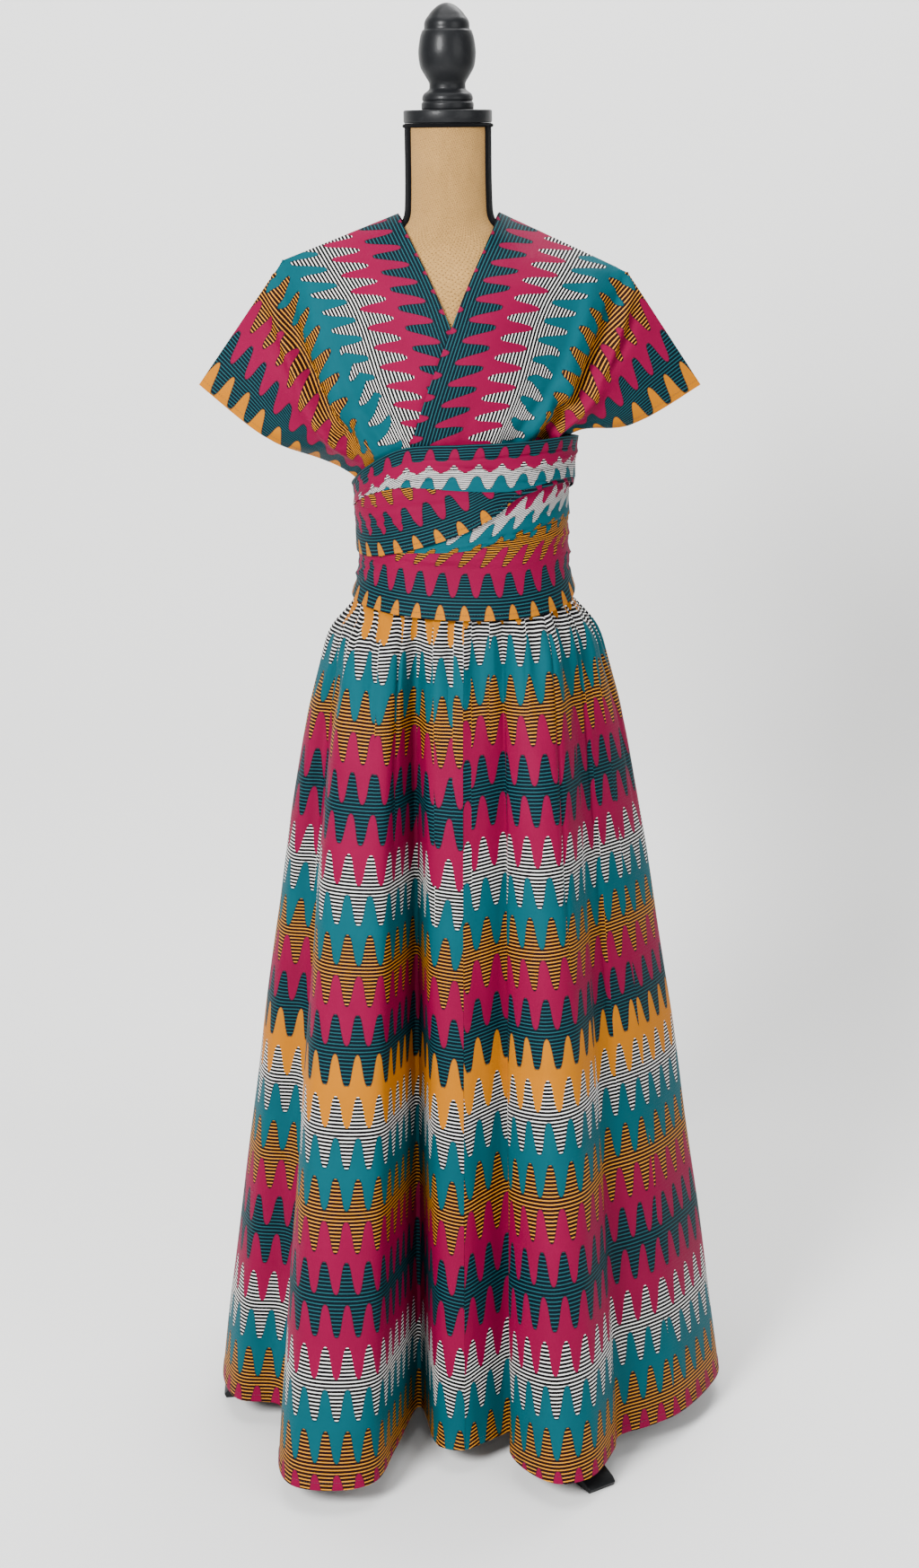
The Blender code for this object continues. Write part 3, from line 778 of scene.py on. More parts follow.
@dataclass
class ClothGrid:
    """Points on a cloth's outer face, with their places in the flat cloth.

    The rows run down and the columns towards the wearer's left as seen from the
    front. A ring has one more column of places than of points.
    """

    points: list[list[Vector]]
    places: list[list[Place]]
    ring: bool = False
    slips: list[list[Place]] | None = None

    def place(self, row: int, column: int, face: int) -> Place:
        """A corner's place in the flat cloth.

        Args:
            row: The corner's row.
            column: The corner's column.
            face: The column of the face that it belongs to.

        Returns:
            The place in metres, moved by whatever a pleat hides beside that face.
        """
        across, down = self.places[row][column]
        if self.slips is None:
            return across, down
        slip = self.slips[row][face]
        return across + slip[0], down + slip[1]

    def normals(self) -> list[list[Vector]]:
        """The outward normal at each point, from its neighbours."""
        rows, columns = len(self.points), len(self.points[0])
        found = []
        for i in range(rows):
            below, above = self.points[min(i + 1, rows - 1)], self.points[max(i - 1, 0)]
            here = self.points[i]
            line = []
            for j in range(columns):
                if self.ring:
                    before, after = here[j - 1], here[(j + 1) % columns]
                else:
                    before, after = here[max(j - 1, 0)], here[min(j + 1, columns - 1)]
                line.append((after - before).cross(above[j] - below[j]).normalized())
            found.append(line)
        return found

    def seam(self, corners: Sequence[tuple[int, int]], proud: float) -> list[Vector]:
        """A line of points just outside the cloth's face, from (row, column) corners."""
        normals = self.normals()
        return [self.points[i][j] + normals[i][j] * proud for i, j in corners]

    def lift(self, amount: Callable[[int, int], float]) -> None:
        """Moves every point along its normal.

        Args:
            amount: The move in metres for a row and a column.
        """
        normals = self.normals()
        for i, line in enumerate(self.points):
            for j in range(len(line)):
                line[j] = line[j] + normals[i][j] * amount(i, j)


def link_mesh(name: str, mesh: bpy.types.Mesh, material: bpy.types.Material) -> bpy.types.Object:
    """Makes an object at the scene's origin from a finished mesh.

    Args:
        name: The object's name.
        mesh: Its mesh.
        material: Its first material.

    Returns:
        The object.
    """
    if not mesh.materials:
        mesh.materials.append(material)
    piece = bpy.data.objects.new(name, mesh)
    bpy.context.scene.collection.objects.link(piece)
    return piece


def thin_cloth(name: str, grid: ClothGrid, material: bpy.types.Material) -> bpy.types.Object:
    """A closed thin shell behind a grid of points.

    Args:
        name: The piece's name.
        grid: The outer face.
        material: The cloth.

    Returns:
        The piece, with its flat map in metres.
    """
    rows, columns = len(grid.points), len(grid.points[0])
    normals = grid.normals()
    outer = [point for line in grid.points for point in line]
    inner = [
        point - normal * SHELL
        for line, line_normals in zip(grid.points, normals)
        for point, normal in zip(line, line_normals)
    ]
    count = len(outer)
    last = columns if grid.ring else columns - 1
    faces: list[tuple[int, ...]] = []
    places: list[Place] = []

    def add(corners: Sequence[tuple[int, int, bool]]) -> None:
        """Adds one face from (row, column, inside) corners."""
        faces.append(tuple(i * columns + j % columns + count * inside for i, j, inside in corners))
        face = min(min(j for _, j, _ in corners), last - 1)
        places.extend(grid.place(i, j, face) for i, j, _ in corners)

    def rim(start: tuple[int, int], end: tuple[int, int]) -> None:
        """Adds the narrow face that closes the shell along one edge."""
        add([(*start, False), (*end, False), (*end, True), (*start, True)])

    for i in range(rows - 1):
        for j in range(last):
            corners = ((i, j), (i + 1, j), (i + 1, j + 1), (i, j + 1))
            add([(a, b, False) for a, b in corners])
            add([(a, b, True) for a, b in reversed(corners)])
    for j in range(last):
        rim((0, j), (0, j + 1))
        rim((rows - 1, j + 1), (rows - 1, j))
    if not grid.ring:
        for i in range(rows - 1):
            rim((i + 1, 0), (i, 0))
            rim((i, columns - 1), (i + 1, columns - 1))
    mesh = bpy.data.meshes.new(name)
    mesh.from_pydata([tuple(point) for point in outer + inner], [], faces)
    flat = mesh.uv_layers.new(name=FLAT_MAP)
    flat.data.foreach_set("uv", [value for place in places for value in place])
    mesh.shade_smooth()
    mesh.set_sharp_from_angle(angle=math.radians(55))
    return link_mesh(name, mesh, material)


def row_lengths(points: Sequence[Vector]) -> list[float]:
    """The distance from the first point to each one, along the points.

    Args:
        points: Points in order.

    Returns:
        As many distances, the first one 0.
    """
    lengths = [0.0]
    for start, end in zip(points, points[1:]):
        lengths.append(lengths[-1] + (end - start).length)
    return lengths


def stitch_tree(material: bpy.types.Material) -> bpy.types.NodeTree:
    """Builds the Geometry Nodes that sew stitches along lines.

    Args:
        material: The thread.

    Returns:
        The tree, with inputs for the stitches' spacing, length and thickness.
    """
    tree = bpy.data.node_groups.new("Row of Stitches", "GeometryNodeTree")
    face = tree.interface
    face.new_socket("Seam Lines", in_out="INPUT", socket_type="NodeSocketGeometry")
    for label, default in (("Spacing", 0.0030), ("Stitch Length", 0.0022), ("Thickness", 0.0005)):
        face.new_socket(label, in_out="INPUT", socket_type="NodeSocketFloat").default_value = default
    face.new_socket("Stitches", in_out="OUTPUT", socket_type="NodeSocketGeometry")
    sketch = Sketch(tree)
    given = sketch.outputs(sketch.node("NodeGroupInput"))
    thick = given["Thickness"]
    curve = sketch.take("GeometryNodeMeshToCurve", Mesh=given["Seam Lines"])
    spaced = sketch.take(
        "GeometryNodeResampleCurve", {"mode": "LENGTH"}, Curve=curve, Length=given["Spacing"]
    )
    bead = sketch.take("GeometryNodeMeshUVSphere", Segments=5, Rings=3, Radius=0.5)
    size = sketch.take("ShaderNodeCombineXYZ", X=given["Stitch Length"], Y=thick, Z=thick)
    shaped = sketch.take("GeometryNodeTransform", Geometry=bead, Scale=size)
    tangent = sketch.take("GeometryNodeInputTangent")
    along = sketch.take("FunctionNodeAlignRotationToVector", {"axis": "X"}, Vector=tangent)
    sewn = sketch.take(
        "GeometryNodeInstanceOnPoints", Points=spaced, Instance=shaped, Rotation=along
    )
    real = sketch.take("GeometryNodeRealizeInstances", Geometry=sewn)
    dyed = sketch.take("GeometryNodeSetMaterial", Geometry=real, Material=material)
    sketch.node("NodeGroupOutput", Stitches=dyed)
    return tree


@dataclass
class Needle:
    """Sews rows of stitches, as one plain mesh for each call."""

    wardrobe: Wardrobe
    spacing: float = 0.0032
    length: float = 0.0023
    thickness: float = 0.00055
    proud: float = 0.0001
    tree: bpy.types.NodeTree | None = None

    def sew(self, name: str, seams: Sequence[Sequence[Vector]]) -> bpy.types.Object:
        """Sews along each seam line.

        Args:
            name: The piece's name.
            seams: Lines of points on the cloth's face.

        Returns:
            The stitches.
        """
        thread = self.wardrobe.get(DARK_THREAD)
        if self.tree is None:
            self.tree = stitch_tree(thread)
        points, edges = [], []
        for seam in seams:
            first = len(points)
            points += [tuple(point) for point in seam]
            edges += [(first + i, first + i + 1) for i in range(len(seam) - 1)]
        mesh = bpy.data.meshes.new(f"{name}_lines")
        mesh.from_pydata(points, edges, [])
        guide = bpy.data.objects.new(f"{name}_lines", mesh)
        bpy.context.scene.collection.objects.link(guide)
        modifier = guide.modifiers.new("Stitches", "NODES")
        modifier.node_group = self.tree
        sizes = {"Spacing": self.spacing, "Stitch Length": self.length, "Thickness": self.thickness}
        for item in self.tree.interface.items_tree:
            if item.in_out == "INPUT" and item.name in sizes:
                modifier[item.identifier] = sizes[item.name]
        evaluated = guide.evaluated_get(bpy.context.evaluated_depsgraph_get())
        result = bpy.data.meshes.new_from_object(evaluated)
        guide.modifiers.remove(modifier)
        bpy.data.objects.remove(guide, do_unlink=True)
        result.name = name
        result.shade_smooth()
        return link_mesh(name, result, thread)


def settle(piece: bpy.types.Object, slot: Slot, *replaced: str) -> None:
    """Attaches a finished piece to its body and hides the CAD nodes that it stands for.

    Args:
        piece: The piece.
        slot: The record's material slot; not used.
        *replaced: CAD nodes that it replaces.
    """
    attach(piece, BODY)
    if replaced:
        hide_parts(*replaced)


class FormRow(NamedTuple):
    """A section of the form: half-width, and its reach to the front and the back."""

    z: float
    half_width: float
    front: float
    back: float


@dataclass
class FormShape:
    """The dress form's skin, which the straps lie on too."""

    centre_x: float = -0.008
    neck_top: float = 1.5490
    neck_angle: float = 60.0
    rows: tuple[FormRow, ...] = rows_of(
        FormRow,
        (0.8, 0.118, 0.09, 0.092),
        (0.86, 0.128, 0.098, 0.1),
        (0.92, 0.126, 0.098, 0.1),
        (0.98, 0.112, 0.092, 0.093),
        (1.03, 0.098, 0.084, 0.084),
        (1.045, 0.096, 0.082, 0.082),
        (1.1, 0.096, 0.082, 0.082),
        (1.165, 0.098, 0.086, 0.083),
        (1.21, 0.106, 0.093, 0.086),
        (1.27, 0.126, 0.102, 0.089),
        (1.33, 0.137, 0.096, 0.088),
        (1.372, 0.138, 0.079, 0.078),
        (1.4, 0.122, 0.0585, 0.0595),
        (1.418, 0.094, 0.048, 0.049),
        (1.432, 0.068, 0.047, 0.048),
        (1.444, 0.053, 0.047, 0.047),
        (1.46, 0.049, 0.047, 0.047),
        (1.549, 0.048, 0.047, 0.047),
    )

    def __post_init__(self) -> None:
        """Makes the table that the sections are read from."""
        self.table = Table(self.rows, "z")

    def half_width(self, z: float) -> float:
        """Half the form's width at a height."""
        return self.table.at(z, "half_width")

    def depth(self, z: float, facing: Facing) -> float:
        """How far the form reaches to its front or back at a height."""
        return self.table.at(z, facing.value)

    def point(self, z: float, angle: float, ease: float = 0.0) -> Vector:
        """A point of the skin.

        Args:
            z: The height.
            angle: The angle from the centre front towards the wearer's left, in radians.
            ease: How far outside the skin.

        Returns:
            The point.
        """
        facing = Facing.FRONT if math.cos(angle) > 0 else Facing.BACK
        half_width, depth = self.half_width(z) + ease, self.depth(z, facing) + ease
        x = self.centre_x + half_width * math.sin(angle)
        return Vector((x, -depth * math.cos(angle), z))


class OutlineRow(NamedTuple):
    """The skirt's half-width at a height."""

    z: float
    half_width: float


class FoldRow(NamedTuple):
    """A fold of the hem: the waist angle it falls from and its place at the hem."""

    waist_angle: float
    x: float
    y: float


class PleatRow(NamedTuple):
    """A pleat that falls from the waist.

    It has an angle, a height where it has opened, its width in degrees, its depth and
    how much of the print it hides at the waist.
    """

    angle: float
    bottom_z: float
    width: float
    depth: float
    hides: float


class LevelRow(NamedTuple):
    """How many bands of the print lie above a height, on the right panel's column."""

    z: float
    bands: float


PRINT_LEVELS = rows_of(
    LevelRow,
    (1.058, -0.15),
    (1.02, 0.65),
    (1.004, 1.0),
    (0.9615, 2.0),
    (0.8765, 4.0),
    (0.742, 7.0),
    (0.5175, 12.0),
    (0.2815, 17.0),
    (0.0365, 22.0),
    (0.033, 22.07),
)

FOLD_EDGES = (22.0, 57.0, 81.0, 122.0, 161.0, 197.0, 237.0, 262.0, 286.0, 333.0)

SKIRT_OUTLINE = rows_of(
    OutlineRow,
    (1.058, 0.1027),
    (1.042, 0.109),
    (1.026, 0.1192),
    (1.01, 0.1303),
    (0.981, 0.154),
    (0.938, 0.169),
    (0.88, 0.186),
    (0.79, 0.203),
    (0.66, 0.224),
    (0.5, 0.2485),
    (0.34, 0.271),
    (0.18, 0.294),
    (0.033, 0.313),
)

SKIRT_FOLDS = rows_of(
    FoldRow,
    # Centre front
    (0, -0.0085, -0.2165),
    (10, 0.016, -0.199),
    (20, 0.048, -0.179),
    # Left column
    (24, 0.045, -0.226),
    (30, 0.068, -0.269),
    (38, 0.102, -0.293),
    (47, 0.142, -0.275),
    (55, 0.168, -0.22),
    # Left side
    (63, 0.176, -0.189),
    (74, 0.215, -0.167),
    (84, 0.256, -0.134),
    (91, 0.296, -0.075),
    (98, 0.313, -0.025),
    (106, 0.301, 0.05),
    (114, 0.26, 0.1),
    # Left back column
    (122, 0.202, 0.108),
    (128, 0.22, 0.19),
    (138, 0.186, 0.278),
    (149, 0.102, 0.288),
    (156, 0.056, 0.215),
    # Centre back
    (161, 0.03, 0.152),
    (168, 0.013, 0.218),
    (180, -0.005, 0.245),
    (190, -0.048, 0.22),
    (197, -0.07, 0.164),
    # Right back column
    (202, -0.088, 0.215),
    (211, -0.128, 0.295),
    (222, -0.196, 0.28),
    (231, -0.218, 0.2),
    # Right side
    (237, -0.224, 0.16),
    (246, -0.258, 0.11),
    (255, -0.302, 0.055),
    (263, -0.313, -0.025),
    (268, -0.29, -0.093),
    (273, -0.24, -0.106),
    # Right column
    (279, -0.213, -0.15),
    (285, -0.228, -0.225),
    (293, -0.212, -0.286),
    (306, -0.162, -0.301),
    (319, -0.112, -0.282),
    (327, -0.09, -0.21),
    # Deep valley, and the centre panel beyond it
    (333, -0.064, -0.115),
    (338, -0.045, -0.195),
    (350, -0.032, -0.214),
)

WAIST_PLEATS = rows_of(
    PleatRow,
    (273, 0.62, 2.6, -0.004, 0.007),
    (281, 0.84, 1.8, -0.003, -0.006),
    (296, 0.9, 1.4, -0.0016, 0.004),
    (313, 0.8, 1.6, -0.0022, -0.008),
    (325, 0.7, 1.8, -0.003, 0.009),
    (341, 0.6, 1.6, -0.0034, -0.007),
    (352, 0.76, 1.3, -0.0026, 0.006),
    (4, 0.66, 1.4, -0.003, 0.008),
    (13, 0.82, 1.2, -0.0022, -0.005),
    (33, 0.86, 1.5, -0.0016, 0.006),
    (46, 0.58, 1.8, -0.0034, -0.009),
    (69, 0.4, 2.0, -0.0036, 0.006),
    (76, 0.84, 1.5, -0.0022, 0.004),
    (91, 0.72, 2.2, -0.003, -0.007),
    (99, 0.8, 2.2, -0.0028, 0.006),
    (112, 0.7, 1.8, -0.003, 0.008),
    (130, 0.86, 1.6, -0.002, -0.005),
    (143, 0.66, 2.0, -0.0034, 0.009),
    (153, 0.88, 1.4, -0.002, -0.004),
    (168, 0.72, 1.6, -0.0028, 0.007),
    (176, 0.88, 1.2, -0.002, -0.005),
    (188, 0.8, 1.5, -0.0026, 0.006),
    (206, 0.64, 2.0, -0.0034, -0.008),
    (219, 0.86, 1.5, -0.002, 0.005),
    (229, 0.76, 1.8, -0.0026, -0.006),
    (246, 0.68, 2.2, -0.0032, 0.008),
    (254, 0.88, 1.5, -0.002, -0.004),
)


@dataclass
class Skirt:
    """The two gathered, flared panels."""

    wardrobe: Wardrobe
    needle: Needle
    form: FormShape
    waist_x: float = 0.005
    waist_half_width: float = 0.1180
    waist_half_depth: float = 0.0960
    hem_half_width: float = 0.3130
    hem_shift: float = 0.0035
    sewn_z: float = 1.010
    sewn_half_width: float = 0.0966
    gathers_round: int = 22
    gather_depth: float = 0.0040
    gather_z: float = 0.985
    gather_reach: float = 0.085
    gather_drift: float = 0.9
    columns: int = 208
    upper_rows: int = 34
    lower_rows: int = 66
    hip_z: float = 0.880
    hem_samples: int = 24
    hem_turn: float = 0.0100
    dip: float = 0.047
    dip_power: float = 4.0
    pleat_opening: float = 0.16
    left_rise_low: float = 0.004
    left_rise_high: float = 0.0205
    fine_gathers: int = 53
    fine_depth: float = 0.0009
    slack_depth: float = 0.0009
    hem_depth: float = 0.0005
    seam_blend: float = 0.012
    pleat_fall: float = 0.35
    pleat_steepness: float = 0.35

    def __post_init__(self) -> None:
        """Reads the outline and the print's levels."""
        self.outline = Table(SKIRT_OUTLINE, "z")
        self.levels = Table(PRINT_LEVELS, "z")
        self.top_z, self.hem_z = SKIRT_OUTLINE[0].z, SKIRT_OUTLINE[-1].z

    def heights(self) -> list[float]:
        """The rows of points, closest together at the gathers and the turned hem."""
        turn = self.hem_z + self.hem_turn
        hip, low = self.hip_z, turn + 0.004
        upper, lower = self.upper_rows, self.lower_rows
        top = [self.top_z + (hip - self.top_z) * step / upper for step in range(upper)]
        middle = [hip + (low - hip) * step / lower for step in range(lower + 1)]
        return [*top, *middle, turn + 0.0012, turn, turn - 0.0012, self.hem_z + 0.004, self.hem_z]

    def hem_line(self, first_angle: float, last_angle: float) -> list[tuple[float, float, float]]:
        """Equal steps of cloth along the hem between two waist angles.

        Args:
            first_angle: The waist angle at the first step, in degrees.
            last_angle: The waist angle at the last step.

        Returns:
            The x, y and waist angle of each step.
        """
        ring = [SKIRT_FOLDS[-1], *SKIRT_FOLDS, *SKIRT_FOLDS[:2]]
        ring[-2:] = [row._replace(waist_angle=row.waist_angle + 360) for row in ring[-2:]]
        ends = [Vector((row.x, row.y)) for row in ring]
        samples = []
        for index in range(1, len(ring) - 2):
            start, end = ends[index], ends[index + 1]
            slopes = (end - ends[index - 1]) / 2, (ends[index + 2] - start) / 2
            waist, next_waist = ring[index].waist_angle, ring[index + 1].waist_angle
            for share in (step / self.hem_samples for step in range(self.hem_samples)):
                place = hermite(start, end, *slopes, share)
                samples.append(Vector((*place, waist + (next_waist - waist) * share)))
        samples.append(Vector((*ends[1], 360.0)))
        stretch = [s for s in samples if first_angle <= s.z <= last_angle]
        lengths = row_lengths([s.xy for s in stretch])
        even = np.linspace(0.0, lengths[-1], self.columns + 1)
        return list(zip(*(np.interp(even, lengths, axis).tolist() for axis in zip(*stretch))))

    def point(self, hem: tuple[float, float, float], z: float) -> Vector:
        """A point of the skirt, on the line from the waist to a place on the hem.

        Args:
            hem: The hem's x and y, and the waist angle that the line falls from.
            z: The height.

        Returns:
            The point on the outer face.
        """
        angle = math.radians(hem[2])
        half_width = self.outline.at(z, "half_width")
        spread = (half_width - self.waist_half_width) / (self.hem_half_width - self.waist_half_width)
        sewn = min(max((z - self.sewn_z) / (self.top_z - self.sewn_z), 0.0), 1.0)
        centre = self.waist_x + (self.form.centre_x - self.waist_x) * sewn
        if spread < 0:
            band_depth = self.form.depth(z, Facing.FRONT) + half_width - self.sewn_half_width
            free_depth = self.waist_half_depth * half_width / self.waist_half_width
            x = centre + half_width * math.sin(angle)
            y = -((1 - sewn) * free_depth + sewn * band_depth) * math.cos(angle)
        else:
            x = centre + self.waist_half_width * math.sin(angle)
            y = -self.waist_half_depth * math.cos(angle)
            x += (hem[0] + self.hem_shift - x) * spread
            y += (hem[1] - y) * spread
        away = abs(z - self.gather_z) / self.gather_reach
        gather = self.gather_depth * math.exp(-away * away) * (1 - sewn)
        gather *= math.cos(self.gathers_round * angle + self.gather_drift * math.sin(3 * angle))
        return Vector((x + gather * math.sin(angle), y - gather * math.cos(angle), z))

    def lift(self, degrees: float, z: float) -> float:
        """How the pleats, the fine gathers and the turned hem lift the cloth.

        Args:
            degrees: The waist angle.
            z: The height.

        Returns:
            The lift in metres.
        """
        below = smooth_step(self.sewn_z + self.seam_blend, self.sewn_z - self.seam_blend, z)
        total = 0.0
        for pleat in WAIST_PLEATS:
            away = (degrees - pleat.angle + 180) % 360 - 180
            fade = self.pleat_share(pleat, z)
            if abs(away) < CREASE_REACH * pleat.width and fade:
                steep = self.pleat_steepness if (away > 0) == (pleat.hides > 0) else 1.0
                total += pleat.depth * fade * math.exp(-((away / pleat.width / steep) ** 2))
        angle = math.radians(degrees)
        fine = math.sin(self.fine_gathers * angle + 2.1 * math.sin(5 * angle))
        fine *= smooth_step(0.90, 0.99, z)
        slack = math.sin(9 * angle + 17 * z) * math.sin(5.3 * angle - 11 * z + 1.0)
        slack *= smooth_step(0.95, 0.75, z)
        turn = self.hem_z + self.hem_turn
        hem = smooth_step(turn + 0.0008, turn - 0.0008, z)
        return below * (total + self.fine_depth * fine + self.slack_depth * slack) + self.hem_depth * hem

    def build(self) -> None:
        """Makes both panels and their hem stitches."""
        heights = self.heights()
        seams = []
        for side, first, last in ((Side.LEFT, 0, 180), (Side.RIGHT, 180, 360)):
            hems = self.hem_line(first, last)
            grid = ClothGrid([[self.point(hem, z) for hem in hems] for z in heights], [])
            grid.lift(lambda i, j: self.lift(hems[j][2], heights[i]))
            for line in grid.points:
                for end, beside in ((0, 1), (-1, -2)):
                    towards = (line[beside] - line[end]).normalized()
                    line[end] = line[end] + towards * SEAM_GAP / 2
            grid.places = self.flat_places(grid.points, heights, side)
            grid.slips = self.hidden_cloth(grid.places, heights, [hem[2] for hem in hems])
            name = f"printed_skirt_panel_{side.word}"
            panel = thin_cloth(name, grid, self.wardrobe.get(PRINT))
            settle(panel, Slot.PRINT, f"skirt_panel_{side.word}")
            row = len(heights) - 3
            seams.append(grid.seam([(row, j) for j in range(len(hems))], self.needle.proud))
            log.info("%s: %d faces", name, len(panel.data.polygons))
        settle(self.needle.sew("skirt_hem_stitches", seams), Slot.PRINT)

    def pleat_share(self, pleat: PleatRow, z: float) -> float:
        """How far a pleat is closed at a height: 1 at the waist, 0 where it has opened."""
        return smooth_step(pleat.bottom_z, pleat.bottom_z + self.pleat_opening, z)

    def flat_places(
        self, points: list[list[Vector]], heights: Sequence[float], side: Side
    ) -> list[list[Place]]:
        """Where each point of a panel would lie in the flat print, if nothing hid in folds.

        Args:
            points: The panel's points.
            heights: The height of each row.
            side: The panel's side.

        Returns:
            A place in metres for each point.
        """
        columns = len(points[0])
        places = []
        for i, z in enumerate(heights):
            level = self.levels.at(z, "bands") * BAND_PITCH
            if side is Side.LEFT:
                gain = self.left_rise_high - self.left_rise_low
                level += self.left_rise_low + gain * smooth_step(0.10, 0.50, z)
            fall = self.top_z - z
            along = row_lengths(points[i])
            line = []
            for j in range(columns):
                share = abs(2 * j / (columns - 1) - 1)
                line.append((along[j], level - fall * self.dip * share**self.dip_power))
            places.append(line)
        return places

    def hidden_cloth(
        self, places: list[list[Place]], heights: Sequence[float], angles: Sequence[float]
    ) -> list[list[Place]]:
        """How the folds and pleats move the print that shows beside them.

        At the hem all the cloth shows. Higher up, each stretch between two fold edges
        keeps the print of its middle, and the rest goes into the folds.

        Args:
            places: The places as if nothing were hidden.
            heights: The height of each row.
            angles: The waist angle of each column.

        Returns:
            The move in metres of each face column at each row.
        """
        inner = [edge for edge in FOLD_EDGES if angles[0] < edge < angles[-1]]
        starts = [0, *(self.column_at(edge, angles) for edge in inner), len(angles) - 1]
        pleats = [
            (self.column_at(pleat.angle, angles), pleat)
            for pleat in WAIST_PLEATS
            if angles[0] < pleat.angle < angles[-1]
        ]
        slips = []
        for i, z in enumerate(heights):
            hidden = [(column, self.pleat_share(pleat, z) * pleat.hides) for column, pleat in pleats]
            line = []
            for first, last in zip(starts, starts[1:]):
                middle = (first + last) // 2
                across = places[-1][middle][0] - places[i][middle][0]
                inside = [(column, hides) for column, hides in hidden if first < column < last]
                for j in range(first, last):
                    moved = sum(hides * (0.5 if j >= column else -0.5) for column, hides in inside)
                    line.append((across + moved, moved * self.pleat_fall))
            slips.append(line)
        return slips

    @staticmethod
    def column_at(angle: float, angles: Sequence[float]) -> int:
        """The first column whose waist angle reaches an angle."""
        return next(column for column, here in enumerate(angles) if here >= angle)


class StrapRow(NamedTuple):
    """A strap's line from the waist to the shoulder, at a place across it."""

    across: float
    band_x: float
    waist_x: float
    waist_z: float
    chest_x: float
    chest_z: float
    waist_bands: float


class WingRow(NamedTuple):
    """How wide a wing stands at a height, out to where front and back would meet."""

    z: float
    left: float
    right: float


STRAP_ROWS = {
    Side.LEFT: rows_of(
        StrapRow,
        (0.0, -0.065, -0.046, 1.203, 0.008, 1.35, 5.1),
        (0.25, -0.029, 0.0, 1.203, 0.064, 1.321, 6.2),
        (0.5, 0.008, 0.048, 1.204, 0.121, 1.295, 7.4),
        (0.75, 0.045, 0.09, 1.206, 0.165, 1.26, 9.0),
        (1.0, 0.08, 0.129, 1.206, 0.202, 1.218, 12.15),
    ),
    Side.RIGHT: rows_of(
        StrapRow,
        (0.0, -0.065, -0.046, 1.203, 0.004, 1.345, 5.1),
        (0.25, -0.029, -0.005, 1.198, 0.062, 1.319, 6.2),
        (0.5, 0.008, 0.04, 1.19, 0.119, 1.29, 7.4),
        (0.75, 0.045, 0.08, 1.174, 0.165, 1.248, 9.0),
        (1.0, 0.078, 0.105, 1.158, 0.204, 1.205, 12.15),
    ),
}

WING_OUTLINE = rows_of(
    WingRow,
    (1.453, 0.0565, 0.0565),
    (1.403, 0.1636, 0.187),
    (1.386, 0.2, 0.1993),
    (1.266, 0.28, 0.286),
    (1.235, 0.292, 0.293),
    (1.216, 0.25, 0.29),
    (1.207, 0.175, 0.27),
    (1.198, 0.16, 0.245),
    (1.185, 0.147, 0.172),
    (1.17, 0.137, 0.136),
    (1.15, 0.128, 0.127),
    (1.12, 0.12, 0.122),
    (1.085, 0.112, 0.112),
)

STRAP_CREASES = rows_of(
    Crease,
    ((0.45, 0.99), (0.83, 0.2), -0.016, 0.03, 0.4),
    ((0.53, 0.97), (0.93, 0.18), 0.009, 0.026, 0.2),
    ((0.38, 0.92), (0.72, 0.2), 0.006, 0.034, 0.2),
    ((0.56, 0.54), (0.78, 0.42), 0.005, 0.022, 0.0),
    ((0.57, 0.47), (0.8, 0.36), -0.007, 0.022, 0.3),
    ((0.62, 0.9), (0.76, 0.5), -0.007, 0.024, 0.0),
    ((0.6, 0.02), (0.34, 0.62), 0.0022, 0.04, 0.3),
    ((0.7, 0.02), (0.5, 0.7), -0.0026, 0.034, 0.2),
    ((0.8, 0.03), (0.6, 0.6), 0.0026, 0.03, 0.4),
    ((0.88, 0.04), (0.72, 0.66), -0.0026, 0.028, 0.2),
    ((0.93, 0.02), (0.82, 0.52), 0.0024, 0.024, 0.3),
    ((0.46, 0.02), (0.22, 0.42), -0.0014, 0.034, 0.0),
    ((0.32, 0.04), (0.14, 0.34), 0.0012, 0.03, 0.2),
    ((0.97, 0.05), (0.9, 0.6), -0.0018, 0.022, 0.0),
)


